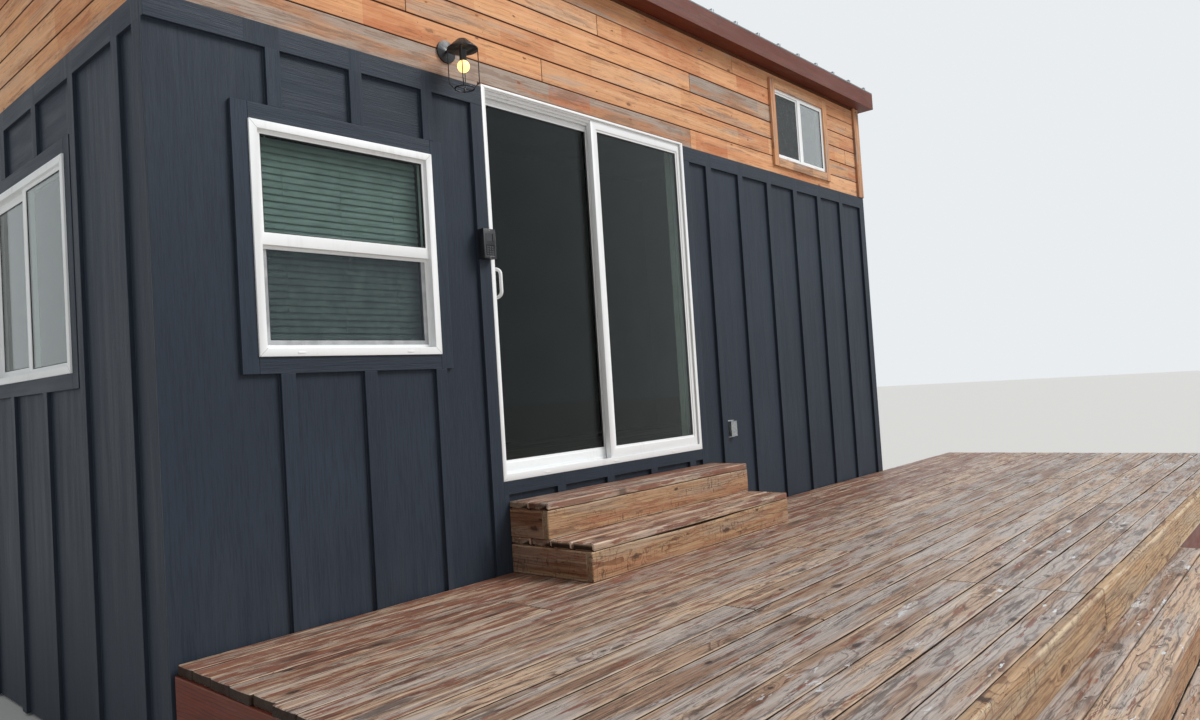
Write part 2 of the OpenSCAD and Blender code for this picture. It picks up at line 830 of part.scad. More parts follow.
module key_box() {
  edge = 3;
  color("black") difference() {
    block(key_x, key_x + key_w, -key_d, 0, key_z, key_z + key_h);
    block(key_x + 12, key_x + key_w - 12, -key_d - 1, -key_d + edge, key_z + 12, key_z + key_h * 0.45);
  }
}

module outlet_cover() {
  depth = 34;
  flange = 4;
  color("silver") union() {
    block(outlet_x, outlet_x + outlet_w, trim_t - flange, trim_t, outlet_z - outlet_h / 2,
      outlet_z + outlet_h / 2);
    block(outlet_x + 6, outlet_x + outlet_w - 6, trim_t - depth, trim_t, outlet_z - outlet_h / 2 + 6,
      outlet_z + outlet_h / 2 - 6);
  }
}

// Deck

module deck_boards() {
  start = -deck_wall_gap - first_board_w;
  count = floor((start - board_gap - rim_in) / board_pitch);
  last_top = start - board_gap - count * board_pitch;
  color("tan") {
    block(0, deck_l, start, -deck_wall_gap, -board_t, 0);
    for (i = [0 : count - 1]) {
      y1 = start - board_gap - i * board_pitch;
      block(0, deck_l, y1 - board_w, y1, -board_t, 0);
    }
    block(0, deck_l, rim_in + seat, last_top, -board_t, 0);
  }
}

module deck_frame() {
  end_in = 5 + board_t + seat;
  count = ceil((deck_l - 2 * end_in - board_t) / joist_pitch);
  step = (deck_l - 2 * end_in - board_t) / count;
  beam_w = 2 * board_t;
  beams = [-350 - beam_w, rim_in + board_t + 350];
  post_n = 5;
  color("burlywood") {
    for (i = [0 : count])
      block(end_in + i * step, end_in + i * step + board_t, rim_in + board_t + 2 * seat,
        -deck_wall_gap, joist_z, joist_z + joist_d);
    for (y = beams) {
      block(end_in, deck_l - end_in, y, y + beam_w, beam_z, beam_z + joist_d);
      for (i = [0 : post_n - 1]) {
        x = end_in + (deck_l - 2 * end_in - post_s) * i / (post_n - 1);
        block(x, x + post_s, y + (beam_w - post_s) / 2, y + (beam_w + post_s) / 2,
          ground_z, beam_z - seat);
      }
    }
  }
}

module deck_rim()
  color("tan") block(0, deck_l, -deck_d, rim_in, -step_rise + seat, 0);

module deck_fascia() {
  low = -board_t - seat - skirt_h;
  high = -board_t - seat;
  color("sienna") {
    block(5, 5 + board_t, rim_in + board_t + 2 * seat, -deck_wall_gap, low, high);
    block(deck_l - 5 - board_t, deck_l - 5, rim_in + board_t + 2 * seat, -deck_wall_gap, low, high);
    block(5, deck_l - 5, rim_in + seat, rim_in + board_t + seat, low - 120, high);
  }
}

// Two long steps in front of the deck, each with two tread boards, a riser and bearers behind it
module front_steps() {
  nose = 12;
  bearer_h = 89;
  bearer_n = 4;
  bearer_pitch = (long_l - board_t) / (bearer_n - 1);
  color("tan") {
    for (s = [1, 2]) {
      z = -s * step_rise;
      low = s == 1 ? z - step_rise + seat : ground_z;
      edge = -deck_d - s * long_run;
      behind = s == 1 ? rim_in : -deck_d - long_run + nose - seat;
      block(long_x, long_x + long_l, edge, edge + board_w, z - board_t, z);
      block(long_x, long_x + long_l, edge + board_w + board_gap, behind, z - board_t, z);
      block(long_x, long_x + long_l, edge + nose, edge + nose + board_t, low, z - board_t - seat);
      for (i = [0 : bearer_n - 1])
        translate([long_x + i * bearer_pitch, 0, 0])
          block(0, board_t, edge + nose + board_t + seat, behind,
            s == 1 ? z - board_t - seat - bearer_h : ground_z, z - board_t - seat);
    }
  }
}

// Entry steps

module entry_treads() {
  color("tan") {
    for (s = [1, 2]) {
      z = s * step_rise;
      depth = (3 - s) * entry_run;
      count = 2 * (3 - s);
      pitch = depth / count;
      for (i = [0 : count - 1])
        block(entry_x, entry_x + entry_l, -(i + 1) * pitch, -i * pitch - (i == 0 ? seat : tread_gap),
          z - board_t, z);
    }
  }
}

// Each box is a riser board that covers the ends of three boards behind it
module entry_boxes() {
  lip = 4;
  riser = step_rise - board_t - 2 * seat;
  x0 = entry_x + lip;
  x1 = entry_x + entry_l - lip;
  color("peru")
    for (s = [1, 2]) {
      z = (s - 1) * step_rise + seat;
      face = lip - (3 - s) * entry_run;
      block(x0, x1, face, face + board_t, z, z + riser);
      for (x = [x0, (x0 + x1 - board_t) / 2, x1 - board_t])
        block(x, x + board_t, face + board_t + seat, -1, z, z + riser);
    }
}

place() piers();
place() base_frame();
place() floor();
place() front_wall_left();
place() front_wall_right();
place() front_wall_over_door();
place() left_end_wall();
place() right_end_wall();
place() back_wall();
place() ceiling();
place() roof_frame();
place() roof_metal();
place() roof_fascia();
place() front_siding_left();
place() front_siding_right();
place() front_siding_base();
place() left_end_siding();
place() right_end_siding();
place() back_siding();
place() front_planks();
place() left_end_planks();
place() right_end_planks();
place() back_planks();
place() cedar_trim();
place() black_casings();
place() door_frame();
place() fixed_panel();
place() sliding_panel();
place() sliding_glass();
place() door_handle();
place() front_window();
place() end_window();
place() small_window();
place() fixed_glass();
place() window_blind();
place() wall_lantern();
place() key_box();
place() outlet_cover();
place() deck_boards();
place() deck_frame();
place() deck_rim();
place() deck_fascia();
place() front_steps();
place() entry_treads();
place() entry_boxes();
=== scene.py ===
# Timber clad container cabin: finishes, fine pieces, floor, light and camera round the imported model.
from functools import partial
import math
import random

import bmesh
import bpy
from mathutils import Matrix, Vector, noise


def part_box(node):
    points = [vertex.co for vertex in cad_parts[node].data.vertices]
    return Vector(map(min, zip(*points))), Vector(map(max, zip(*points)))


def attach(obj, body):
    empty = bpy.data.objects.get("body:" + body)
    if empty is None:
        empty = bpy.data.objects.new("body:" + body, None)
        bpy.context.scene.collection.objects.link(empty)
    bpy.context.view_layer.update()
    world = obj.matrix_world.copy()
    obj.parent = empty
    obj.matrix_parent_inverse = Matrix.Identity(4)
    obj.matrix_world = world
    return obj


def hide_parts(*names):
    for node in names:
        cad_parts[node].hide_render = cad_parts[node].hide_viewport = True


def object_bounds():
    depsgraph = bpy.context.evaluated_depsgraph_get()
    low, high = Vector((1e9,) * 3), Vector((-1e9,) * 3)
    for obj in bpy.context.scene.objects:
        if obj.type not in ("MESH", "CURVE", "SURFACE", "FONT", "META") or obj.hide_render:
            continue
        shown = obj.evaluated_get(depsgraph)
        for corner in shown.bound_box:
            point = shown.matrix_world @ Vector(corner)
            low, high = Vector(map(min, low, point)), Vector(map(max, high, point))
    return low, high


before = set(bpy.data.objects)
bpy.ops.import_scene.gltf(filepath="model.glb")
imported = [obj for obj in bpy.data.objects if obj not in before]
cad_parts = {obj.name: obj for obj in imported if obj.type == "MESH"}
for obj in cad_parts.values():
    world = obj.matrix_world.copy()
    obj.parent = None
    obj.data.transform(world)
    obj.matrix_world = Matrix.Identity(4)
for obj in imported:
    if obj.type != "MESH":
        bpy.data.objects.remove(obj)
cadLow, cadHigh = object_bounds()
chance = random.Random(41)
print("frame loaded,", len(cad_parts), "nodes")

# Places are read as on site: x from the cabin's left corner, y inward from the trim face, z above the deck
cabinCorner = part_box("front_siding_left")[0]
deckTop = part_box("deck_boards")[1].z
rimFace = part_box("deck_rim")[0].y

# Camera, solved from the straight edges of the deck, door and siding
cameraSet = dict(place=(-1.2768, -3.2421, 0.8935), heading=48.777, tilt=1.9, roll=-3.605, lens=25.703,
                 sensor=36.0, reach=300)


def placeCamera():
    data = bpy.data.cameras.new("siteCamera")
    data.lens = cameraSet["lens"]
    data.sensor_width = cameraSet["sensor"]
    data.clip_end = cameraSet["reach"]
    camera = bpy.data.objects.new("siteCamera", data)
    bpy.context.scene.collection.objects.link(camera)
    turn = Matrix()
    for axis, degrees in ("Z", -cameraSet["heading"]), ("X", 90 + cameraSet["tilt"]), ("Z", cameraSet["roll"]):
        turn = turn @ Matrix.Rotation(math.radians(degrees), 4, axis)
    x, y, z = cameraSet["place"]
    camera.matrix_world = Matrix.Translation((cabinCorner.x + x, cabinCorner.y + y, deckTop + z)) @ turn
    bpy.context.scene.camera = camera


placeCamera()
print("camera placed")


# Nodes: settings go by name, inputs by name or place; the values after them fill the inputs in use, in order.
# A value is plain, a hex colour, a socket, or a node, which gives its first output.

def srgb(text):
    parts = [int(text[i:i + 2], 16) / 255 for i in (1, 3, 5)]
    return [p / 12.92 if p <= 0.04045 else ((p + 0.055) / 1.055) ** 2.4 for p in parts] + [1.0]


def addNode(tree, kind, settings, *values):
    node = tree.nodes.new("ShaderNode" + kind)
    named = []
    for key, value in settings.items():
        if isinstance(key, str) and key not in node.inputs:
            setattr(node, key, value)
        else:
            named.append((node.inputs[key], value))
    for socket, value in named + list(zip([socket for socket in node.inputs if socket.enabled], values)):
        if isinstance(value, bpy.types.Node):
            value = next(out for out in value.outputs if out.enabled)
        if isinstance(value, bpy.types.NodeSocket):
            tree.links.new(value, socket)
        else:
            socket.default_value = srgb(value) if isinstance(value, str) else value
    return node


def newFinish(name):
    finish = bpy.data.materials.new(name)
    finish.use_nodes = True
    finish.node_tree.nodes.clear()
    add = partial(addNode, finish.node_tree)
    return finish, add, add("TexCoord", {}).outputs["Object"]


def coat(finish, settings):
    # closes a material with its surface
    shader = addNode(finish.node_tree, "BsdfPrincipled", settings)
    addNode(finish.node_tree, "OutputMaterial", {"Surface": shader})
    return finish


def perMm(*sizes):
    # scale of a pattern from the size of its features in millimetres
    return [1000 / size for size in sizes]


# settings that come back often: eased limits, colour mixes, and sums
eased = {"interpolation_type": "SMOOTHSTEP"}
colours = {"data_type": "RGBA"}
multiplied = {"data_type": "RGBA", "blend_type": "MULTIPLY"}
times, plus, minus, largest, smallest, absolute, timesPlus = (
    {"operation": way}
    for way in ("MULTIPLY", "ADD", "SUBTRACT", "MAXIMUM", "MINIMUM", "ABSOLUTE", "MULTIPLY_ADD"))


def layered(add, colour, layers):
    # lays tints over a colour, each by the product of its shares; a tuple is a source with its limits and range
    for tint, *shares in layers:
        shares = [add("MapRange", eased, *share) if isinstance(share, tuple) else share for share in shares]
        amount = shares[0]
        for share in shares[1:]:
            amount = add("Math", times, amount, share)
        colour = add("Mix", colours, amount, colour, tint)
    return colour


def boardedFinish(name, noises):
    # starts a finish for boards: the grain place, tone, and wear and shade they carry, and noises drawn along
    # the grain
    finish, add, place = newFinish(name)
    grain, tone, edge = (
        add("Attribute", {"attribute_name": layer}).outputs[kind]
        for layer, kind in (("grainSpot", "Vector"), ("boardTone", "Fac"), ("edgeWear", "Fac")))
    drawn = {}
    for title, (along, across, detail, rough) in noises.items():
        spread = add("Mapping", {"Vector": grain, "Scale": perMm(along, across, across)})
        drawn[title] = add("TexNoise", {"Vector": spread, "Scale": 1.0, "Detail": detail, "Roughness": rough})
    return finish, add, place, grain, tone, edge, drawn


# Sawn timber. Every board carries its own grain place, tone, and edge wear with painted shade, so one finish
# fits all directions.
# Its noises: millimetres along and across the grain, detail and roughness
timberNoises = dict(
    wander=(700, 200, 3.0, 0.5), waver=(140, 55, 2.0, 0.5), patch=(420, 110, 5.0, 0.62),
    streak=(260, 11, 3.0, 0.6), line=(450, 6, 2.0, 0.5), fibre=(60, 3, 3.0, 0.7), run=(1500, 26, 2.0, 0.5),
    silver=(650, 80, 4.0, 0.5), stain=(260, 30, 5.0, 0.66), dirt=(330, 34, 6.0, 0.72), dash=(70, 6, 3.0, 0.6),
    rub=(380, 300, 4.0, 0.65), split=(170, 13, 2.0, 0.5), opened=(300, 60, 2.0, 0.5),
    cross=(34, 150, 2.0, 0.5), flake=(115, 42, 3.0, 0.7), field=(420, 160, 2.0, 0.5))


def sawnTimber(name, look):
    finish, add, place, grain, tone, edge, drawn = boardedFinish(name, timberNoises)
    patch = drawn["patch"]
    depth = add("SeparateXYZ", {}, place).outputs["Y"]
    # how near a spot lies to the rim, where sun and feet wear most, and to the wall, where old stain stays
    byRim = add("MapRange", eased, depth, rimFace + 0.15, rimFace + 1.0, 1, 0)
    byWall = add("MapRange", eased, depth, rimFace + 0.7, cabinCorner.y, 0, 1)

    # knots in a plan of the board's face, each its own size and drawn out a little along the grain
    plan = add("Mapping", {"Vector": grain, "Scale": (0.42, 1, 1)})
    blur = add("TexNoise", {"Vector": grain, "Scale": 34.0})
    plan = add("VectorMath", timesPlus, blur.outputs["Color"], (0.016, 0.016, 0.016), plan)
    knots = add("TexVoronoi", {"voronoi_dimensions": "2D", "Vector": plan, "Scale": look["knotsPerMetre"]})
    lot = add("SeparateColor", {}, knots.outputs["Color"])
    chosen = add("MapRange", eased, lot, 0.98 - look["knotShare"], 1.0 - look["knotShare"])
    near = add("Math", times, knots, add("MapRange", {}, lot.outputs[1], 0, 1, 2.0, 0.75))
    knotDark = add("MapRange", {}, lot.outputs[2], 0, 1, 0.45, 0.95)
    size = look["knotMm"] / 1000 * look["knotsPerMetre"]
    knot, knotRim, pull = (
        add("Math", times, chosen, add("MapRange", eased, near, size * start, size * end, 1, 0))
        for start, end in ((0.75, 1.0), (1.0, 1.9), (0.0, 4.5)))

    # growth rings round a pith beside the board, wandering along it and bending round the knots
    moved = grain
    for title, reach in (("wander", 0.07), ("waver", 0.011)):
        moved = add("VectorMath", timesPlus, drawn[title].outputs["Color"], (0, reach, reach), moved)
    bend = add("CombineXYZ", {2: add("Math", times, pull, 0.03)})
    moved = add("Mapping", {"Vector": add("VectorMath", plus, moved, bend), "Scale": (0.06, 1, 1)})
    rings = add("TexWave", {
        "wave_type": "RINGS", "rings_direction": "X", "wave_profile": "SAW", "Vector": moved,
        "Scale": 314 / look["ringMm"], "Distortion": 2.2, "Detail": 2.0, "Detail Scale": 0.8})
    shown = add("Math", largest, add("MapRange", eased, patch, 0.34, 0.6, look["ringFaint"], 1),
                add("Math", times, byRim, look["rimRings"]))
    late = add("Math", times, add("MapRange", eased, rings, 0.68, 0.95), shown)

    grainParts = add("SeparateXYZ", {}, grain)
    side = add("Math", absolute, grainParts.outputs["Y"])
    silver = add("Math", plus, add("MapRange", eased, drawn["silver"], 0.36, 0.66),
                 add("Math", times, tone, look["greyByTone"]))
    silver = add("Math", plus, silver, look["greyBias"])
    grey = add("Mix", colours, add("Math", times, late, 0.8), look["grey"], look["greyDark"])
    blotch = add("TexVoronoi", {"voronoi_dimensions": "1D", "W": grainParts, "Scale": 2.3})
    lot = add("SeparateColor", {}, blotch.outputs["Color"])
    stain = add("Math", plus, drawn["stain"], add("Math", times, byWall, look["wallStain"]))
    dirt = add("Math", plus, drawn["dirt"], add("Math", times, tone, look["dirtByTone"]))
    colour = layered(add, look["early"], (
        (look["late"], late),
        (look["toneDark"], tone, look["toneShare"]),
        # redder towards both edges of a board than in its middle
        (look["heart"], (side, 0.02, 0.06, 0, look["heartShare"]), (patch, 0.36, 0.56, 0.35, 1)),
        (look["streak"], (drawn["streak"], 0.52, 0.63, 0, look["streakShare"])),
        # long straight runs of paler grain
        (look["pale"], (drawn["run"], 0.56, 0.66, 0, look["runShare"])),
        # silvering by sun and rain, deeper on some boards and least beside the wall
        (grey, (silver, 0.25, 0.95, 0, look["greyShare"]),
         add("MapRange", {}, byWall, 0, 1, 1, 1.0 - look["wallShelter"])),
        # blotches: lengths of the board that lay covered keep another tone up to a straight edge
        (look["blotch"], (patch, 0.4, 0.62, 0.25, look["blotchShare"]), (lot, 0.62, 0.95), look["blotchShare"]),
        (look["pale"], (lot.outputs[1], 0.75, 1.0, 0, look["blotchShare"] * 0.5)),
        # old stain left in patches that follow the grain, most of it near the wall
        (look["stain"], (stain, 0.59, 0.63, 0, look["stainShare"])),
        # mould and trodden dirt, broken up along the grain
        (look["dirt"], (dirt, 0.56, 0.63, 0, look["dirtShare"])),
        # short dark dashes where the soft wood between the rings has weathered away
        (look["knot"], (drawn["dash"], 0.6, 0.65, 0, look["dashShare"]), (patch, 0.42, 0.58, 0.2, 1)),
        (look["streak"], knotRim, 0.45),
        (look["knot"], knot, knotDark)))
    spread = look["fleck"]
    fleck = add("Math", plus, add("MapRange", {}, drawn["fibre"], 0.3, 0.7, -spread, spread),
                add("MapRange", {}, drawn["line"], 0.32, 0.68, 1 - spread, 1 + spread))
    colour = add("Mix", multiplied, 1.0, colour, add("CombineColor", {}, fleck, fleck, fleck))

    # checks: thin splits, where a drawn out noise crosses its middle; cross cracks and saw marks stand upright
    split, cross = (
        add("MapRange", eased, add("Math", absolute, add("Math", minus, drawn[title], 0.5)), 0, wide, share, 0)
        for title, wide, share in (("split", 0.012, 1.0), ("cross", 0.02, look["crossShare"])))
    split = add("Math", times, split, add("MapRange", eased, drawn["opened"], 0.5, 0.58, 0, look["checkShare"]))
    cross = add("Math", times, cross, add("MapRange", eased, patch, 0.45, 0.6))
    check = add("Math", largest, split, cross)
    # flakes of the old clear coat near the rim, lifted and bright
    flake = add("MapRange", eased, drawn["flake"], 0.615, 0.63, 0, look["flakeShare"])
    flake = add("Math", times, flake, byRim)
    flake = add("Math", times, flake, add("MapRange", eased, drawn["field"], 0.53, 0.57))
    # arrises pale in places, rubbed and partly a painted highlight; the sides in the gaps, the undersides and
    # the ends go dark with dirt and painted shade, and mirror less
    deep = add("MapRange", eased, edge, 1.1, 1.6, 0, look["gapShare"])
    colour = layered(add, colour, (
        # on the deck, rim and step looks the pale arris tint is wear and also a painted highlight on the
        # rounded edges
        (look["edge"], (edge, 0.3, 1.0), (drawn["rub"], 0.42, 0.58, 0.1, 1), look["edgeShare"]),
        (look["gap"], deep),
        (look["knot"], check),
        (look["flake"], flake)))

    height = add("Math", times, late, 0.5)
    for relief, way, share in ((drawn["fibre"], plus, 0.5), (drawn["line"], plus, 0.6), (check, minus, 1.6)):
        height = add("Math", way, height, add("Math", times, relief, share))
    rough = add("MapRange", eased, patch, 0.3, 0.7, look["rough"] - 0.1, look["rough"] + 0.08)
    coat(finish, {
        "Base Color": colour, "Roughness": add("Math", minus, rough, add("Math", times, flake, 0.3)),
        "Specular IOR Level": add("MapRange", {}, deep, 0, 1, look["gloss"], 0.05),
        "Normal": add("Bump", {"Strength": look["bump"], "Distance": 0.0014, "Height": height})})


# what all boards share until a look says otherwise
plainBoard = dict(
    toneShare=0.4, greyByTone=0.2, greyBias=0.0, blotch="#8a5a3e", pale="#d0b08c", blotchShare=0.0,
    # gap: dark colour of the board sides in the joints, the undersides and the ends, dirt and painted shade
    wallStain=0.0, dirt="#4a3a32", dirtShare=0.0, gap="#2a1e18", gapShare=0.95, ringFaint=0.25, rimRings=0.0,
    crossShare=0.0, flakeShare=0.0, runShare=0.0, wallShelter=0.0, dirtByTone=0.0, heart="#95603f",
    heartShare=0.0, dashShare=0.0, gloss=0.35, flake="#e3e7ea")
timberLooks = dict(
    # flat sawn treated pine after some summers: red brown stain left in the hollows, grey and tan on the ridges
    weatheredDeckPine=dict(
        early="#c8ab91", late="#624438", toneDark="#74503c", toneShare=0.75, streak="#50372b", streakShare=0.7,
        pale="#dac1a4", runShare=0.6, grey="#bbb3ae", greyDark="#675d5a", greyShare=0.74, greyByTone=0.25,
        greyBias=-0.04, wallShelter=0.68, stain="#7a4029", stainShare=0.8, wallStain=0.13, dirt="#46372f",
        dirtShare=0.7, dirtByTone=0.03, dashShare=0.75, knot="#2a1d17", edge="#d2b79b", edgeShare=0.6,
        fleck=0.17, ringMm=12, ringFaint=0.12, rimRings=0.85, knotMm=14, knotsPerMetre=5.2, knotShare=0.42,
        checkShare=0.9, flakeShare=0.95, bump=0.6, rough=0.5, gloss=0.5),
    # the rim and step risers: the same pine, less walked on, warmer, with upright cracks
    warmStepPine=dict(
        early="#bf9c78", late="#80553a", toneDark="#794730", toneShare=0.85, heart="#a56f4e", heartShare=0.6,
        streak="#5f3d2b", streakShare=0.5, pale="#d4b88c", runShare=0.35, grey="#ab9b8b", greyDark="#756152",
        greyShare=0.4, greyBias=-0.1, stain="#8c5238", stainShare=0.5, wallStain=0.03, dirt="#5b3e2e",
        dirtShare=0.55, dashShare=0.45, knot="#33201a", edge="#d8c2a2", edgeShare=0.6, fleck=0.15, ringMm=14,
        ringFaint=0.15, knotMm=11, knotsPerMetre=5.6, knotShare=0.6, checkShare=0.9, crossShare=0.75, bump=0.5,
        rough=0.64),
    # rough sawn cedar on the upper walls: orange heart, blotches where boards lay covered, some silvered boards
    sawnCedar=dict(
        early="#e8ab79", late="#d29565", toneDark="#8f7561", toneShare=0.85, heart="#cc8a60", heartShare=0.55,
        streak="#b67a52", streakShare=0.3, grey="#aa9d92", greyDark="#7b6f66", greyShare=0.85, greyByTone=0.85,
        greyBias=-0.5, blotch="#bf6d45", pale="#efc095", blotchShare=0.8, runShare=0.4, stain="#b4683f",
        stainShare=0.35, dirt="#7a5841", dirtShare=0.45, dirtByTone=0.07, dashShare=0.2, knot="#5a3421",
        edge="#a0694a", edgeShare=0.3, gap="#5b3826", fleck=0.07, ringMm=17, ringFaint=0.0, knotMm=8,
        knotsPerMetre=7.0, knotShare=0.4, checkShare=0.35, bump=0.45, rough=0.72, gloss=0.3),
    # planed framing lumber under the deck, kept dry and pale
    framingPine=dict(
        early="#b99a76", late="#93704e", toneDark="#80684f", streak="#5f4a38", streakShare=0.35,
        grey="#94897c", greyDark="#6b6157", greyShare=0.45, stain="#6f543c", stainShare=0.3, knot="#4a3020",
        edge="#a08465", edgeShare=0.2, fleck=0.08, ringMm=10, knotMm=14, knotsPerMetre=2.8, knotShare=0.4,
        checkShare=0.3, bump=0.3, rough=0.7),
    # fascia boards under a thin red brown stain that lets the grain through
    stainedFascia=dict(
        early="#6d2c16", late="#4d1c0f", toneDark="#451d12", toneShare=0.3, streak="#38160e", streakShare=0.4,
        grey="#76503f", greyDark="#503629", greyShare=0.22, greyByTone=0.1, greyBias=-0.15, stain="#3f1b12",
        stainShare=0.4, knot="#2c1610", edge="#89563c", edgeShare=0.35, fleck=0.1, ringMm=12, knotMm=13,
        knotsPerMetre=2.6, knotShare=0.3, checkShare=0.3, bump=0.35, rough=0.55),
    # oiled oak strip floor inside
    oiledOak=dict(
        early="#6e5034", late="#523923", toneDark="#4f3722", toneShare=0.5, streak="#42301e", streakShare=0.3,
        grey="#6a5845", greyDark="#5a4938", greyShare=0.1, greyByTone=0.1, greyBias=-0.2, stain="#4a3220",
        stainShare=0.1, knot="#2c1c0d", edge="#332314", edgeShare=0.5, fleck=0.06, ringMm=8, knotMm=7,
        knotsPerMetre=1.6, knotShare=0.2, checkShare=0.05, bump=0.12, rough=0.42))
# the rim: step pine again, paler where feet and sun reach its face, its figure and upright cracks plain to see
timberLooks["wornRimPine"] = dict(
    timberLooks["warmStepPine"], early="#c6a680", late="#70503b", heartShare=0.15, toneShare=0.3,
    grey="#b3a390", greyShare=0.45, rimRings=0.85, crossShare=1.0, stainShare=0.3, edge="#dcc8aa",
    edgeShare=0.8)
for name, look in timberLooks.items():
    sawnTimber(name, {**plainBoard, **look})


# Acrylic paint on pressed siding board: upright embossed grain, faint fading and dust low down
paintLook = dict(paint="#29313d", faded="#323b47", deep="#202731", dust="#54555a", rubbed="#414954",
                 dustTop=0.55, dustLow=-0.15)
paintNoises = dict(emboss=(150, 7, 4.0, 0.6), fibre=(60, 3, 3.0, 0.6), wide=(700, 50, 3.0, 0.5))


def paintedSiding(name, look):
    finish, add, place, grain, tone, edge, drawn = boardedFinish(name, paintNoises)
    fade = add("TexNoise", {"Vector": place, "Scale": 1.1, "Detail": 4.0})
    high = add("Math", minus, add("SeparateXYZ", {}, place).outputs["Z"], deckTop)
    colour = layered(add, look["paint"], (
        (look["faded"], (fade, 0.3, 0.75)),
        (look["deep"], tone, 0.35),
        (look["deep"], (drawn["emboss"], 0.45, 0.62, 0, 0.5)),
        (look["faded"], (drawn["fibre"], 0.5, 0.72, 0, 0.45)),
        (look["dust"], (high, look["dustLow"], look["dustTop"], 1, 0), (drawn["wide"], 0.35, 0.8, 0, 0.2)),
        (look["rubbed"], add("Math", smallest, edge, 1.0), 0.3)))
    height = add("Math", plus, drawn["emboss"], add("Math", times, drawn["fibre"], 0.5))
    coat(finish, {
        "Base Color": colour, "Roughness": add("MapRange", eased, drawn["wide"], 0.3, 0.7, 0.5, 0.62),
        "Normal": add("Bump", {"Strength": 0.9, "Distance": 0.002, "Height": height}),
        "IOR": 1.48, "Specular IOR Level": 0.25})


paintedSiding("navySidingPaint", paintLook)


# White uPVC, extruded and welded at its corners: smooth, a little dull, with grey run marks
def extrudedVinyl(name, skin, grime):
    finish, add, place = newFinish(name)
    cloud = add("TexNoise", {"Vector": place, "Scale": 5.0, "Detail": 4.0})
    spread = add("Mapping", {"Vector": place, "Scale": perMm(20, 20, 400)})
    drip = add("TexNoise", {"Vector": spread, "Scale": 1.0})
    pebble = add("TexNoise", {"Vector": place, "Scale": 700.0, "Detail": 1.0})
    coat(finish, {
        "Base Color": layered(add, skin, [(grime, (cloud, 0.45, 0.8), (drip, 0.4, 0.8, 0, 0.4))]),
        "Roughness": add("MapRange", eased, cloud, 0.3, 0.7, 0.34, 0.46),
        "Normal": add("Bump", {"Strength": 0.06, "Distance": 0.0004, "Height": pebble}), "IOR": 1.53})


extrudedVinyl("extrudedVinyl", "#f4f5f5", "#bdb9b0")


# Float glass in sealed units: faint green body with a trace of dust on it. The door units mirror little, their
# reflections dimmed by a grey tint as painted shade for darker surroundings; the small window has a film
# against the sun, in which the sky stands bright.
def floatGlass(name, reflectionShade, film):
    finish, add, place = newFinish(name)
    dust = add("TexNoise", {"Vector": place, "Scale": 2.5, "Detail": 5.0})
    coat(finish, {
        "Base Color": layered(add, "#d4e4de", [("#c5d1cc", (dust, 0.4, 0.8, 0, 0.25))]), "Roughness": 0.0,
        "Transmission Weight": 1.0, "IOR": 1.5, "Specular Tint": reflectionShade, "Coat Weight": film, "Coat IOR": 2.4,
        "Coat Roughness": 0.0})


floatGlass("coatedFloatGlass", "#767b7e", 0.0)
floatGlass("sunReflectingGlass", "#ffffff", 1.0)


# Metals, painted fittings and masonry: one colour broken up by wear, with its own grain of roughness
def fittingFinish(name, look):
    finish, add, place = newFinish(name)
    cloud, fine = (
        add("TexNoise", {"Vector": place, "Scale": 1000 / look[size], "Detail": detail, "Roughness": rough})
        for size, detail, rough in (("cloudMm", 5.0, 0.65), ("fineMm", 2.0, 0.5)))
    second, rough = look["second"], look["rough"]
    surface = {
        "Base Color": layered(add, look["base"], (
            (second, (cloud, 0.35, 0.72)), (second, (fine, 0.45, 0.75, 0, look["speck"])))),
        "Roughness": add("MapRange", eased, cloud, 0.3, 0.7, rough - 0.07, rough + 0.07),
        "Normal": add("Bump", {"Strength": look["bump"], "Distance": 0.0008, "Height": fine}),
        "Metallic": look["metal"]}
    if not look["metal"]:
        surface["IOR"] = look["ior"]
    coat(finish, surface)


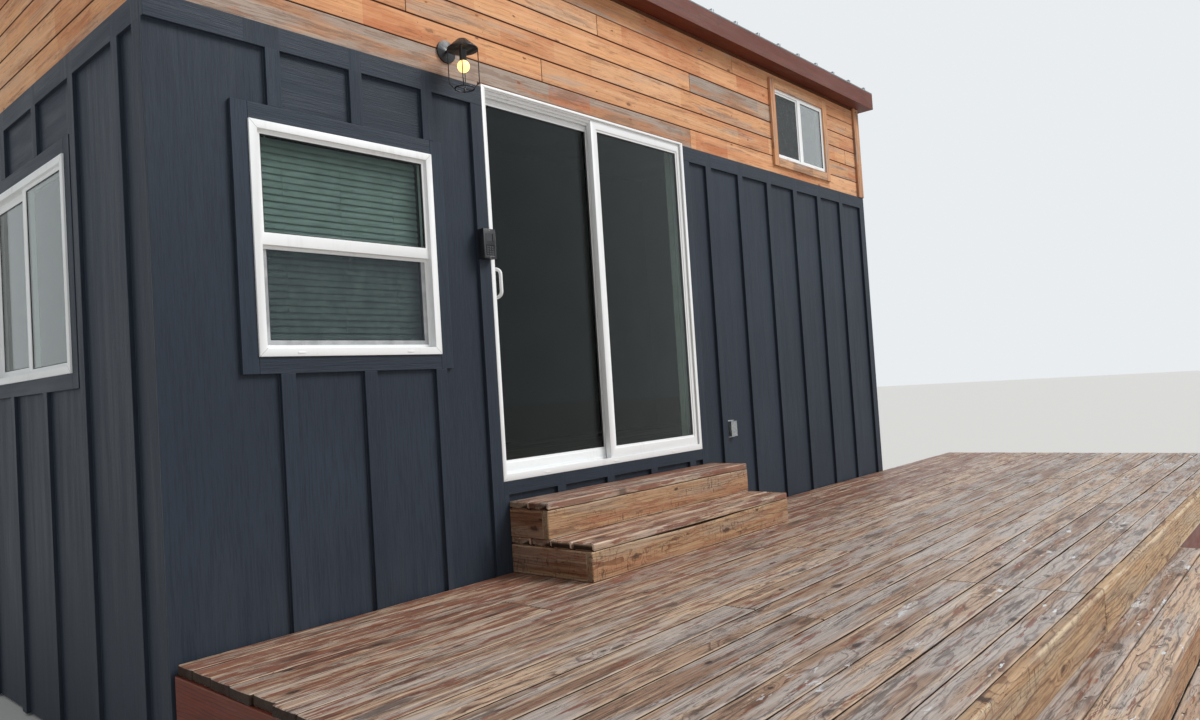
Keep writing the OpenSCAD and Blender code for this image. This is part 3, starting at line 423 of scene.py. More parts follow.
plainFitting = dict(metal=0.0, ior=1.5, speck=0.15)
fittingLooks = dict(
    # black powder coat, slightly orange-peeled, chalked where the sun catches it
    blackPowderCoat=dict(base="#141518", second="#212327", cloudMm=70, fineMm=2, rough=0.42, bump=0.15),
    # moulded black ABS of the key pad
    mouldedKeyPlastic=dict(
        base="#1d1f24", second="#272a30", cloudMm=40, fineMm=1.2, rough=0.5, bump=0.12, ior=1.53),
    # zinc and aluminium coated roof sheet: matt spangle
    coatedRoofSheet=dict(
        base="#8f9497", second="#7c8184", cloudMm=110, fineMm=9, rough=0.42, bump=0.1, metal=0.85),
    # brown primer on the rolled steel of the box, rusting through
    primedSteel=dict(base="#4a3a30", second="#6b4a34", cloudMm=120, fineMm=6, rough=0.62, bump=0.35),
    # crumpled foil tape over the outlet cover
    foilTape=dict(base="#b0b3b4", second="#8d9192", cloudMm=16, fineMm=9, rough=0.34, bump=0.7, metal=0.75),
    # coated deck screws, gone dull brown
    dullScrew=dict(base="#4b4038", second="#6a6058", cloudMm=4, fineMm=1, rough=0.5, bump=0.2, metal=0.7),
    # zinc plated screw eyes
    zincPlate=dict(base="#a4a7a8", second="#868a8c", cloudMm=6, fineMm=1.2, rough=0.35, bump=0.1, metal=0.9),
    # steam cured concrete block, open and grainy
    concreteBlock=dict(base="#97938b", second="#7a766e", cloudMm=90, fineMm=4, rough=0.9, bump=1.0, speck=0.5),
    # EPDM glazing gasket
    gasketRubber=dict(base="#1a1a1b", second="#262626", cloudMm=25, fineMm=2, rough=0.7, bump=0.1),
    # grime held in weld lines and old sealant
    oldSealant=dict(base="#a9a8a3", second="#8e8c86", cloudMm=30, fineMm=2, rough=0.6, bump=0.1, ior=1.45),
    # painted aluminium slats of the blind, pale grey
    slatPaint=dict(base="#a4aaaa", second="#969c9c", cloudMm=100, fineMm=3, rough=0.5, bump=0.1),
    # brushed white gloss on the inner door and window boards, brush marks barely seen
    brushedGloss=dict(base="#e6e5df", second="#d6d4cb", cloudMm=160, fineMm=3, rough=0.45, bump=0.08))
for name, look in fittingLooks.items():
    fittingFinish(name, {**plainFitting, **look})


# Walls of the box: dark brown lining boards inside, black felt on the outer face and in the joints
def linedWall(name, board, second, felt):
    finish, add, place = newFinish(name)
    low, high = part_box("floor")
    reach = add("VectorMath", absolute, add("VectorMath", minus, place, (low + high) / 2))
    reach = add("SeparateXYZ", {}, reach)
    outside = add("Math", largest, add("Math", minus, reach.outputs["X"], (high.x - low.x) / 2),
                  add("Math", minus, reach.outputs["Y"], (high.y - low.y) / 2))
    cloud = add("TexNoise", {"Vector": place, "Scale": 2.0, "Detail": 4.0})
    spread = add("Mapping", {"Vector": place, "Scale": perMm(12, 12, 200)})
    fine = add("TexNoise", {"Vector": spread, "Scale": 1.0})
    coat(finish, {
        "Base Color": layered(add, board, (
            (second, (cloud, 0.3, 0.7)), (second, (fine, 0.4, 0.7, 0, 0.3)), (felt, (outside, -0.02, -0.012)))),
        "Roughness": add("MapRange", eased, cloud, 0.3, 0.7, 0.6, 0.75)})


linedWall("linedWall", "#2b2621", "#211d19", "#191919")


# Woven glass fibre insect screen: a dark veil, its threads too fine to draw
def wovenScreen(name, thread, second, thin, dense):
    finish, add, place = newFinish(name)
    cloud = add("TexNoise", {"Vector": place, "Scale": 20.0, "Detail": 3.0})
    coat(finish, {"Base Color": add("Mix", colours, cloud, thread, second), "Roughness": 0.7,
                         "Alpha": add("MapRange", eased, cloud, 0.3, 0.7, thin, dense)})


wovenScreen("wovenScreen", "#34383a", "#43484a", 0.66, 0.78)
wovenScreen("halfScreenWeave", "#2f353e", "#3b424d", 0.17, 0.25)


# Frosted lamp glass with a warm filament glow behind it
def warmLamp(name, strength):
    finish, add, place = newFinish(name)
    cloud = add("TexNoise", {"Vector": place, "Scale": 33.0, "Detail": 3.0})
    coat(finish, {
        "Base Color": add("Mix", colours, cloud, "#f7c98a", "#ffdf9f"), "Roughness": 0.3,
        "Emission Color": add("Mix", colours, cloud, "#ffb45c", "#ffd68a"), "Emission Strength": strength})


warmLamp("warmLampGlass", 2.2)
print("finishes made,", len(bpy.data.materials))


# Mesh helpers

def newBoards():
    bm = bmesh.new()
    bm.verts.layers.float.new("boardTone")
    bm.verts.layers.float.new("edgeWear")
    bm.verts.layers.float_vector.new("grainSpot")
    return bm


def roundedSection(halfW, halfT, ease, cup, gap, under):
    # points round a board as (across, through, wear and shade), its wide faces a little hollow; values above
    # one mark the sides, undersides and ends that the timber finish paints dark as shade
    rim = min(ease * 3.5, halfW * 0.4)
    points = []
    for sw, st, start in ((1, 1, 0), (-1, 1, 90), (-1, -1, 180), (1, -1, 270)):
        for i in range(3):
            degrees = start + 45 * i
            a = math.radians(degrees)
            wearAndShade = gap if degrees % 180 == 0 else 1.0 + max(gap - 1.0, 0.0) * 0.15 * (i == 1)
            wearAndShade = max(wearAndShade, under) if degrees > 180 and degrees % 180 else wearAndShade
            point = sw * (halfW - ease) + ease * math.cos(a), st * (halfT - ease) + ease * math.sin(a)
            points.append((*point, wearAndShade))
        if sw == st:
            hollow = cup if st > 0 else cup * 0.5
            points += [(st * (halfW - rim), st * halfT, 0.25), (0.0, st * (halfT - hollow), 0.0),
                (st * (rim - halfW), st * halfT, 0.25)]
    return points


def faceAxes(size, along):
    # the wide and the thin axis of a board that runs along the third
    return sorted((axis for axis in range(3) if axis != along), key=lambda axis: -size[axis])


def skinLoops(bm, loops, finish=0, base=True):
    # a skin over rings of points, with flat ends
    for first, second in zip(loops, loops[1:]):
        for i in range(len(first)):
            j = (i + 1) % len(first)
            bm.faces.new((first[i], first[j], second[j], second[i])).material_index = finish
    for loop in (loops[0], loops[-1][::-1]) if base else loops[-1:]:
        bm.faces.new(loop).material_index = finish


def addBoard(bm, low, high, along, ease=0.002, cup=0.0, step=0.5, chip=0.0, tone=None, gap=1.0, under=0.0,
        end=1.0, finish=0):
    # one board with eased edges and ends between two corners, its grain along one axis; its points come back
    # gap, under and end lift the value on the sides, undersides and ends above one, which the timber finish
    # paints dark: dirt and painted shade
    toneLayer = bm.verts.layers.float["boardTone"]
    wearShadeLayer = bm.verts.layers.float["edgeWear"]
    spotLayer = bm.verts.layers.float_vector["grainSpot"]
    size = [high[i] - low[i] for i in range(3)]
    across, through = faceAxes(size, along)
    middle = [(high[i] + low[i]) / 2 for i in range(3)]
    ease = min(ease, size[through] * 0.45, size[along] * 0.2)
    section = roundedSection(size[across] / 2, size[through] / 2, ease, cup, gap, under)
    tone = chance.random() if tone is None else tone
    move = [chance.uniform(0, 60), chance.uniform(-0.05, 0.05)]
    move.append(chance.choice((-1, 1)) * chance.uniform(0.02, 0.08))
    length = size[along]
    count = max(2, round(length / step))
    places = [0.0, ease] + [length * i / count for i in range(1, count)] + [length - ease, length]
    loops = []
    for n, place in enumerate(places):
        shrink = ease if n in (0, len(places) - 1) else 0.0
        loop = []
        for k, (w, t, wearAndShade) in enumerate(section):
            nick = noise.noise(Vector((place * 5 + move[0], w * 40, t * 40))) if wearAndShade > 0.9 else 0.0
            nick = chip * max(0.0, nick)
            co = [0.0, 0.0, 0.0]
            co[along] = low[along] + place
            co[across] = middle[across] + math.copysign(max(abs(w) - shrink - nick, 0), w)
            co[through] = middle[through] + math.copysign(max(abs(t) - shrink - nick * 0.7, 0), t)
            vert = bm.verts.new(co)
            vert[toneLayer] = tone
            vert[wearShadeLayer] = max(wearAndShade, end if shrink else 0.0)
            vert[spotLayer] = (place + move[0], w + move[1], t + move[2])
            loop.append(vert)
        loops.append(loop)
    skinLoops(bm, loops, finish)
    return [vert for loop in loops for vert in loop]


def newPiece(name, bm, finishes, stands=(), smooth=None, body="cabin"):
    bmesh.ops.recalc_face_normals(bm, faces=bm.faces[:])
    mesh = bpy.data.meshes.new(name)
    bm.to_mesh(mesh)
    bm.free()
    for finish in [finishes] if isinstance(finishes, str) else finishes:
        mesh.materials.append(bpy.data.materials[finish])
    if smooth:
        mesh.shade_smooth()
        mesh.set_sharp_from_angle(angle=math.radians(smooth))
    piece = bpy.data.objects.new(name, mesh)
    bpy.context.scene.collection.objects.link(piece)
    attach(piece, body)
    if stands:
        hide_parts(*stands)
    return piece


def cleanShape(node):
    # a copy of a CAD node's mesh with its flat faces joined
    bm = bmesh.new()
    bm.from_mesh(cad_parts[node].data)
    bmesh.ops.remove_doubles(bm, verts=bm.verts[:], dist=0.00002)
    bmesh.ops.dissolve_limit(bm, angle_limit=0.01, verts=bm.verts[:], edges=bm.edges[:])
    return bm


def solidsOf(node):
    # corners of each separate solid of a CAD node, and whether it is a plain box
    bm = cleanShape(node)
    seen, solids = set(), []
    for start in bm.verts:
        if start.index in seen or not start.link_faces:
            continue
        seen.add(start.index)
        group, queue = [], [start]
        while queue:
            vert = queue.pop()
            group.append(vert.co.copy())
            for edge in vert.link_edges:
                other = edge.other_vert(vert)
                if other.index not in seen:
                    seen.add(other.index)
                    queue.append(other)
        low = Vector([min(p[i] for p in group) for i in range(3)])
        high = Vector([max(p[i] for p in group) for i in range(3)])
        solids.append((low, high, len(group) == 8))
    bm.free()
    return solids


def easeShape(bm, ease, cuts=(), keep=25, segments=2, tone=None):
    # rounds every sharp edge, and gives each flat board of the shape its own grain
    for axis, places in enumerate(cuts):
        normal = [0, 0, 0]
        normal[axis] = 1
        for at in places:
            spotOn = [0, 0, 0]
            spotOn[axis] = at
            bmesh.ops.bisect_plane(bm, geom=bm.verts[:] + bm.edges[:] + bm.faces[:], dist=0.00001,
                plane_co=spotOn, plane_no=normal)
    sharp = [e for e in bm.edges if len(e.link_faces) == 2 and e.calc_face_angle(0) > math.radians(keep)]
    rounded = bmesh.ops.bevel(bm, geom=sharp, offset=ease, offset_type="OFFSET", segments=segments,
        profile=0.5, affect="EDGES", clamp_overlap=True)
    worn = set(rounded["faces"])
    toneLayer = bm.loops.layers.float.new("boardTone")
    wearShadeLayer = bm.loops.layers.float.new("edgeWear")
    spotLayer = bm.loops.layers.float_vector.new("grainSpot")
    shifts = {}
    for face in bm.faces:
        points = [v.co for v in face.verts]
        size = [max(p[i] for p in points) - min(p[i] for p in points) for i in range(3)]
        along = size.index(max(size))
        middle = face.calc_center_median()
        cell = tuple(sum(middle[axis] > at for at in places) for axis, places in enumerate(cuts))
        key = (along, cell, tuple(round(c) for c in face.normal), round(face.normal.dot(middle), 3))
        if face in worn:
            key = key[:2]
        if key not in shifts:
            shifts[key] = (chance.uniform(0, 40), chance.uniform(-2, 2), chance.uniform(0.02, 0.08),
                chance.random())
        shift = shifts[key]
        across = faceAxes(size, along)[0]
        for loop in face.loops:
            co = loop.vert.co
            loop[spotLayer] = (co[along] + shift[0], co[across] + shift[1], shift[2])
            loop[toneLayer] = shift[3] if tone is None else tone
            loop[wearShadeLayer] = 1.0 if face in worn else 0.0


def easeNode(name, node, finishes, ease, cuts=(), keep=25, segments=2, smooth=None, pick=None,
        body="cabin"):
    bm = cleanShape(node)
    easeShape(bm, ease, cuts, keep, segments)
    if pick:
        for face in bm.faces:
            face.material_index = pick(face.calc_center_median())
    return newPiece(name, bm, finishes, (node,), smooth, body)


def dress(node, finish):
    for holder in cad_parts[node].material_slots:
        holder.material = bpy.data.materials[finish]


def addRing(bm, centre, turn, radius, rise, sides):
    spokes = [2 * math.pi * i / sides for i in range(sides)]
    return [bm.verts.new(centre + turn @ Vector((radius * math.cos(a), radius * math.sin(a), rise)))
        for a in spokes]


def addDisc(bm, centre, normal, radius, depth, sides=8, sink=0.6):
    # a screw or nail head with a small sunk middle
    turn = Vector(normal).to_track_quat("Z", "X").to_matrix()
    skinLoops(bm, [addRing(bm, Vector(centre), turn, radius * share, rise, sides)
        for share, rise in ((1.0, 0.0), (0.9, depth), (0.45, depth), (0.3, depth * (1 - sink)))], base=False)


def addBar(bm, start, end, width, depth, facing):
    # a slim bar between two points, its flat side facing one way
    side = (end - start).cross(facing).normalized() * width / 2
    lift = facing.normalized() * depth
    corners = [bm.verts.new(p) for p in (start - side, start + side, end + side, end - side)]
    skinLoops(bm, [corners, [bm.verts.new(v.co + lift) for v in corners]])


def addTube(bm, points, radius, sides=10):
    # a round wire along points
    rings = []
    for n, point in enumerate(points):
        turn = (points[min(n + 1, len(points) - 1)] - points[max(n - 1, 0)]).to_track_quat("Z", "X").to_matrix()
        rings.append(addRing(bm, point, turn, radius, 0, sides))
    skinLoops(bm, rings)


def splitAt(low, high, joints, gap=0.0025):
    # a long strip cut into boards at the given places along x
    cuts = [low.x] + sorted(x for x in joints if low.x + 0.2 < x < high.x - 0.2) + [high.x]
    boards = []
    for n, (a, b) in enumerate(zip(cuts, cuts[1:])):
        start = a + (gap / 2 if n else 0)
        end = b - (gap / 2 if n < len(cuts) - 2 else 0)
        boards.append((Vector((start, low.y, low.z)), Vector((end, high.y, high.z))))
    return boards


# Deck, rim and steps

deckSet = dict(swell=(-0.0005, 0.0019), sunk=0.0022, uneven=0.017, boardLength=(6, 7, 9), screwIn=0.026,
    jointScrew=0.012, screwSunk=0.0018, rimJoints=(2.477, 5.54))
# gap, under and end of 2: the sides, undersides and ends of the deck boards are painted dark, dirt and painted
# shade
deckBoard = dict(ease=0.0036, cup=0.0012, step=0.1, chip=0.004, gap=2.0, under=2.0, end=2.0)
screwHead = dict(radius=0.0045, depth=0.001)


def layDeck():
    joists = sorted((low.x + high.x) / 2 for low, high, plain in solidsOf("deck_frame")
        if high.z > deckTop - 0.05 and high.y - low.y > 1)
    strips = sorted(solidsOf("deck_boards"), key=lambda solid: solid[0].y)
    bm = newBoards()
    screws = bmesh.new()
    inset = deckSet["screwIn"]
    for row, (low, high, plain) in enumerate(strips):
        joints, at = [], 6 if row < 4 else chance.choice((3, 4, 5, 7, 8))
        while at < len(joists) - 2:
            joints.append(joists[at])
            at += chance.choice(deckSet["boardLength"])
        for a, b in splitAt(low, high, joints):
            # no two boards stand quite level or have swollen alike
            b.z -= chance.uniform(0.0, deckSet["sunk"])
            if row:
                a.y -= chance.uniform(*deckSet["swell"])
            if row < len(strips) - 1:
                b.y += chance.uniform(*deckSet["swell"])
            if a.x == low.x:
                a.x += chance.uniform(0.0, deckSet["uneven"])
            if b.x == high.x:
                b.x -= chance.uniform(0.0, deckSet["uneven"])
            addBoard(bm, a, b, 0, **deckBoard)
            for x in joists:
                atJoint = any(abs(x - joint) < 0.02 for joint in joints)
                for place in (x - deckSet["jointScrew"], x + deckSet["jointScrew"]) if atJoint else (x,):
                    for y in (a.y + inset, b.y - inset) if a.x < place < b.x else ():
                        where = place + chance.uniform(-0.004, 0.004), y + chance.uniform(-0.005, 0.005)
                        addDisc(screws, (*where, b.z - deckSet["screwSunk"]), (0, 0, 1), **screwHead)
    newPiece("deckPlanking", bm, "weatheredDeckPine", ("deck_boards",))
    newPiece("deckScrews", screws, "dullScrew")


def dressBoxes(name, node, finish, slot, joints=(), **board):
    # every solid of a node as a board with eased edges, split at joints along x
    bm = newBoards()
    for low, high, plain in solidsOf(node):
        size = high - low
        axis = max(range(3), key=lambda i: size[i])
        for a, b in splitAt(low, high, joints) if axis == 0 and joints else [(low, high)]:
            addBoard(bm, a, b, axis, gap=0.3, end=1.3, **board)
    return newPiece(name, bm, finish, (node,))


def screwTreads(name, node, along=0.55):
    # two screws at each bearer of every tread board
    bm = bmesh.new()
    for low, high, plain in solidsOf(node):
        if high.x - low.x < 1 or high.z - low.z > 0.04 or high.y - low.y < 0.08:
            continue
        count = max(3, round((high.x - low.x) / along))
        for i in range(count + 1):
            x = low.x + 0.03 + (high.x - low.x - 0.06) * i / count
            for y in (low.y + 0.025, high.y - 0.025):
                where = x + chance.uniform(-0.006, 0.006), y, high.z - 0.0006
                addDisc(bm, where, (0, 0, 1), screwHead["radius"], 0.0008)
    newPiece(name, bm, "dullScrew")


layDeck()
rimJoints = [cabinCorner.x + x for x in deckSet["rimJoints"]]
dressBoxes("rimBoard", "deck_rim", "wornRimPine", "deck_lumber", rimJoints, ease=0.007, cup=0.001, step=0.1,
    chip=0.006)
dressBoxes("deckFraming", "deck_frame", "framingPine", "deck_lumber", ease=0.003)
dressBoxes("deckFascia", "deck_fascia", "stainedFascia", "stained_fascia", ease=0.003)


# the treads wear like the deck, the upright boards less; the lower entry riser has sagged from its tread
stepSet = dict(treadThick=0.05, treadUneven=0.012, sag=0.011, sideToneAndShade=0.95, riserTone=0.25)
# the undersides of the tread boards and the ends of the upright boards are painted dark: painted shade and dirt
treadBoard = dict(ease=0.0055, cup=0.001, step=0.08, chip=0.004, gap=0.5, under=2.0, end=1.3)
riserBoard = dict(ease=0.0035, step=0.08, chip=0.003, gap=0.3, end=1.3, finish=1)


def buildSteps(name, node, uneven):
    bm = newBoards()
    solids = solidsOf(node)
    ground = min(low.z for low, high, plain in solids)
    front = min(low.y for low, high, plain in solids)
    for low, high, plain in solids:
        size = high - low
        axis = max(range(3), key=lambda i: size[i])
        if axis == 0 and size.z < stepSet["treadThick"]:
            a, b = low.copy(), high.copy()
            a.x += chance.uniform(0.0, uneven)
            b.x -= chance.uniform(0.0, uneven)
            b.z -= chance.uniform(0.0, 0.0015)
            addBoard(bm, a, b, 0, **treadBoard)
            continue
        # side boards of the steps get a fixed dark tone: redder wood, and painted shade for the sides of the
        # steps
        tone = stepSet["riserTone"] * chance.uniform(0.3, 1.6) if axis == 0 else stepSet["sideToneAndShade"]
        points = addBoard(bm, low, high, axis, tone=tone, **riserBoard)
        if node == "entry_boxes" and axis == 0 and low.y < front + 0.02 and low.z < ground + 0.05:
            for vert in points:
                if vert.co.z > (low.z + high.z) / 2:
                    share = min(1.0, max(0.0, (vert.co.x - low.x) / size.x * 1.25 - 0.1))
                    vert.co.z -= stepSet["sag"] * math.sin(math.pi * share) ** 2
    newPiece(name, bm, ("weatheredDeckPine", "warmStepPine"), (node,))


buildSteps("longSteps", "front_steps", 0.006)
buildSteps("entryTreads", "entry_treads", stepSet["treadUneven"])
buildSteps("entryBoxes", "entry_boxes", 0.0)
screwTreads("longStepScrews", "front_steps")
screwTreads("entryTreadScrews", "entry_treads", 0.9)
print("deck and steps laid")


# Siding, planks and cedar trim

# the sides, undersides and ends of the planks are painted dark: painted shade in the joints and under each
# plank, and dirt
plankBoard = dict(ease=0.0018, step=0.25, chip=0.001, gap=2.0, under=2.0, end=2.0)
plankSet = dict(swell=0.0007, pitch=0.1315, darkest=0.42, nailRadius=0.0028, nailEvery=0.408, nailIn=0.03,
    nailRows=(0.24, 0.76), sawGap=0.002, joints={0: (3.507,), 1: (2.1,), 2: (1.2, 5.9), 3: (3.54,),
    4: (2.6, 5.2), 5: (1.5, 4.1), 6: (3.0,)}, tones={(0, 0): 0.95, (3, 1): 1.0, (2, 1): 0.15, (1, 1): 0.2})


def sawBetween(bm, start, end):
    # keeps the length of a board between two places along x
    for x, way in ((start, -1), (end, 1)):
        cut = bmesh.ops.bisect_plane(bm, geom=bm.verts[:] + bm.edges[:] + bm.faces[:], dist=0.00001,
            plane_co=(x, 0, 0), plane_no=(way, 0, 0), clear_outer=True)
        rim = [item for item in cut["geom_cut"] if isinstance(item, bmesh.types.BMEdge) and item.is_boundary]
        bmesh.ops.holes_fill(bm, edges=rim, sides=0)


def hangPlanks(name, node, along, facing):
    bm, nails = newBoards(), bmesh.new()
    solids = sorted(solidsOf(node), key=lambda solid: (round(solid[0].z, 3), solid[0][along]))
    front = node == "front_planks"
    facing, outer = Vector(facing), 1 - along
    swell, darkest, nailIn = plankSet["swell"], plankSet["darkest"], plankSet["nailIn"]
    notched = []
    for low, high, plain in solids:
        row = round((low.z - solids[0][0].z) / plankSet["pitch"])
        if front:
            joints = [cabinCorner.x + x for x in plankSet["joints"][row]]
        else:
            joints = [low.x + (high.x - low.x) * chance.uniform(0.3, 0.7)]
        parts = splitAt(low, high, joints) if along == 0 else [(low, high)]
        if not plain:
            notched.append((row, low, high, joints if front else []))
            parts = []
        for n, (a, b) in enumerate(parts):
            tone = plankSet["tones"].get((row, n)) if front else None
            a.z, b.z = a.z - (swell if row else 0.0), b.z + swell
            addBoard(bm, a, b, along, tone=tone if tone else chance.random() ** 2 * darkest, **plankBoard)
        for i in range(int((high[along] - low[along] - 2 * nailIn) / plankSet["nailEvery"]) + 1):
            for share in plankSet["nailRows"]:
                place = (low + high) / 2
                place[along] = low[along] + nailIn + i * plankSet["nailEvery"] + chance.uniform(-0.02, 0.02)
                place.z = low.z + (high.z - low.z) * share
                place[outer] = (high if facing[outer] > 0 else low)[outer]
                if plain:
                    addDisc(nails, place - facing * 0.0004, facing, plankSet["nailRadius"], 0.0006, 6)
    for row, low, high, joints in notched:
        ends = [low.x] + [x for x in joints if low.x + 0.2 < x < high.x - 0.2] + [high.x]
        for n, (start, end) in enumerate(zip(ends, ends[1:])):
            part = cleanShape(node)
            spare = [v for v in part.verts if any(not a - 1e-5 < c < b + 1e-5
                for a, c, b in zip(low, v.co, high))]
            bmesh.ops.delete(part, geom=spare, context="VERTS")
            sawBetween(part, start + (plankSet["sawGap"] if n else 0), end)
            tone = plankSet["tones"].get((row, n), chance.random() ** 2 * darkest)
            easeShape(part, plankBoard["ease"], tone=tone)
            newPiece(f"{name}Notched{row}.{n}", part, "sawnCedar")
    newPiece(name, bm, "sawnCedar", (node,))
    newPiece(name + "Nails", nails, "dullScrew")


hangPlanks("frontPlanks", "front_planks", 0, (0, -1, 0))
hangPlanks("leftEndPlanks", "left_end_planks", 1, (-1, 0, 0))
hangPlanks("rightEndPlanks", "right_end_planks", 1, (1, 0, 0))
hangPlanks("backPlanks", "back_planks", 0, (0, 1, 0))
dressBoxes("cedarTrim", "cedar_trim", "sawnCedar", "cedar_plank", ease=0.002, step=0.25, chip=0.001)
dressBoxes("darkCasings", "black_casings", "navySidingPaint", "dark_siding", ease=0.0018)


def paintSiding(name, node, along):
    # siding with its battens and frieze, cut where boards meet so that each has its own grain
    places = sorted({round(v.co[along], 4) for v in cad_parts[node].data.vertices})
    levels = [deckTop + (2.371 if node != "front_siding_base" else 0.387)]
    cuts = [[], [], levels]
    cuts[along] = places[1:-1]
    easeNode(name, node, "navySidingPaint", 0.0016, cuts)


for name, node, along in (("frontSidingLeft", "front_siding_left", 0),
        ("frontSidingRight", "front_siding_right", 0), ("frontSidingBase", "front_siding_base", 0),
        ("leftEndSiding", "left_end_siding", 1), ("rightEndSiding", "right_end_siding", 1),
        ("backSiding", "back_siding", 0)):
    paintSiding(name, node, along)
print("walls clad")


# Door, windows and glass

vinylSet = dict(ease=0.0016, weldWidth=0.0012, weldProud=0.0002, gasket=0.004, lap=0.012, doorPane=1.5)

for name, node, body in (("doorFrame", "door_frame", "cabin"), ("fixedDoorPanel", "fixed_panel", "cabin"),
        ("slidingDoorPanel", "sliding_panel", "door"), ("frontWindowFrame", "front_window", "cabin"),
        ("endWindowFrame", "end_window", "cabin"), ("smallWindowFrame", "small_window", "cabin")):
    easeNode(name, node, "extrudedVinyl", vinylSet["ease"], keep=30, smooth=32, body=body)
easeNode("doorPull", "door_handle", "extrudedVinyl", 0.0012, keep=35, smooth=40, body="door")


def faceBar(bm, run, face, way, start, end, width, depth):
    # a bar on an upright face, from one place to another along it and in height
    places = []
    for along, z in (start, end):
        place = Vector((face, face, z))
        place[run] = along
        places.append(place)
    facing = Vector((0, 0, 0))
    facing[1 - run] = way
    addBar(bm, *places, width, depth, facing)


def fitGaskets(name, node, body):
    # black glazing seals on both faces of every pane
    bm = bmesh.new()
    for low, high, plain in solidsOf(node):
        run = 1 if high.x - low.x < high.y - low.y else 0
        # panes of the door reach behind their beads
        inset = (vinylSet["lap"] if high.z - low.z > vinylSet["doorPane"] else 0.0) + vinylSet["gasket"] / 2
        a, b, c, d = low[run] + inset, high[run] - inset, low.z + inset, high.z - inset
        for face, way in ((low[1 - run], -1), (high[1 - run], 1)):
            for start, end in (((a, c), (b, c)), ((a, d), (b, d)), ((a, c), (a, d)), ((b, c), (b, d))):
                faceBar(bm, run, face, way, start, end, vinylSet["gasket"], 0.0012)
    newPiece(name, bm, "gasketRubber", body=body)


def setPanes():
    # arrised panes of the fixed lights; those high in the small window mirror the sky
    low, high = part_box("small_window")
    plain, small = newBoards(), newBoards()
    for a, b, box in solidsOf("fixed_glass"):
        inSmall = a.z > low.z and a.x > low.x and b.x < high.x
        addBoard(small if inSmall else plain, a, b, 2, 0.0007)
    newPiece("fixedPanes", plain, "coatedFloatGlass", ("fixed_glass",))
    newPiece("smallWindowPanes", small, "sunReflectingGlass", ("fixed_glass",))


setPanes()
fitGaskets("fixedGaskets", "fixed_glass", "cabin")
fitGaskets("slidingGaskets", "sliding_glass", "door")


def weldCorners(name, frames):
    # fine weld lines across the mitred corners of white frames, seen from outside
    bm = bmesh.new()
    for low, high, run, wide, tall in frames:
        for u, du in ((low[run], wide), (high[run], -wide)):
            for w, dw in ((low.z, tall), (high.z, -tall)):
                faceBar(bm, run, low[1 - run], -1, (u, w), (u + du, w + dw), vinylSet["weldWidth"],
                    vinylSet["weldProud"])
    newPiece(name, bm, "oldSealant")


doorLow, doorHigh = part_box("door_frame")


def hangSweep():
    # white strip under the moving panel, a hair above the sill
    low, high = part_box("sliding_panel")
    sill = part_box("fixed_panel")[0].z
    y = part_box("sliding_glass")[0].y - doorLiner["glassIn"]
    bm = newBoards()
    addBoard(bm, (low.x + 0.002, y - 0.003, sill + 0.0015), (high.x - 0.002, y, sill + 0.024), 0, 0.001)
    newPiece("doorSweep", bm, "extrudedVinyl", body="door")


# inner door boards: what shows of them through the panes is the right jamb
doorLiner = dict(board=0.018, casing=0.07, casingThick=0.02, glassIn=0.0085)


def lineDoor():
    bm = newBoards()
    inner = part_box("front_wall_right")[1].y
    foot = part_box("floor")[1].z
    t, wide, thick = doorLiner["board"], doorLiner["casing"], doorLiner["casingThick"]
    for side in (0, 1):
        edge = doorHigh.x if side else doorLow.x
        way = -1 if side else 1
        xs = sorted((edge, edge + way * t))
        addBoard(bm, (xs[0], doorHigh.y + 0.0005, foot + 0.001), (xs[1], inner, doorHigh.z - 0.001), 2, 0.001)
        xs = sorted((edge + way * t, edge - way * (wide - t)))
        addBoard(bm, (xs[0], inner + 0.0003, foot + 0.001), (xs[1], inner + thick, doorHigh.z), 2, 0.002)
    addBoard(bm, (doorLow.x - wide, inner + 0.0003, doorHigh.z + 0.0005), (doorHigh.x + wide, inner + thick,
        doorHigh.z + wide), 0, 0.002)
    newPiece("doorCasing", bm, "brushedGloss")


lineDoor()
hangSweep()
frontLow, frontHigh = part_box("front_window")
smallLow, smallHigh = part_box("small_window")
endLow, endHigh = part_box("end_window")
weldCorners("doorWelds", [(doorLow, doorHigh, 0, 0.025, 0.013)])
weldCorners("windowWelds", [(frontLow, frontHigh, 0, 0.034, 0.034), (smallLow, smallHigh, 0, 0.02, 0.02),
    (endLow, endHigh, 1, 0.034, 0.034)])


def capWeeps():
    # small hooded drain caps along the sills
    bm = newBoards()
    for low, high, xs in ((doorLow, doorHigh, (0.18, 0.5, 0.82)), (frontLow, frontHigh, (0.2, 0.8)),
            (smallLow, smallHigh, (0.2, 0.8))):
        for share in xs:
            x = low.x + (high.x - low.x) * share
            addBoard(bm, (x - 0.017, low.y - 0.0022, low.z + 0.011), (x + 0.017, low.y, low.z + 0.019), 0,
                0.0009)
    newPiece("weepCaps", bm, "extrudedVinyl")


capWeeps()


# Blind: crowned slats on ladder cords, with its head channel, bottom rail and tilt wand
blindSet = dict(pitch=0.029, slat=0.034, thick=0.0006, crown=0.003, tilt=73, rail=0.025, cord=0.0009,
    wandFrom=0.08, wandLength=0.6)


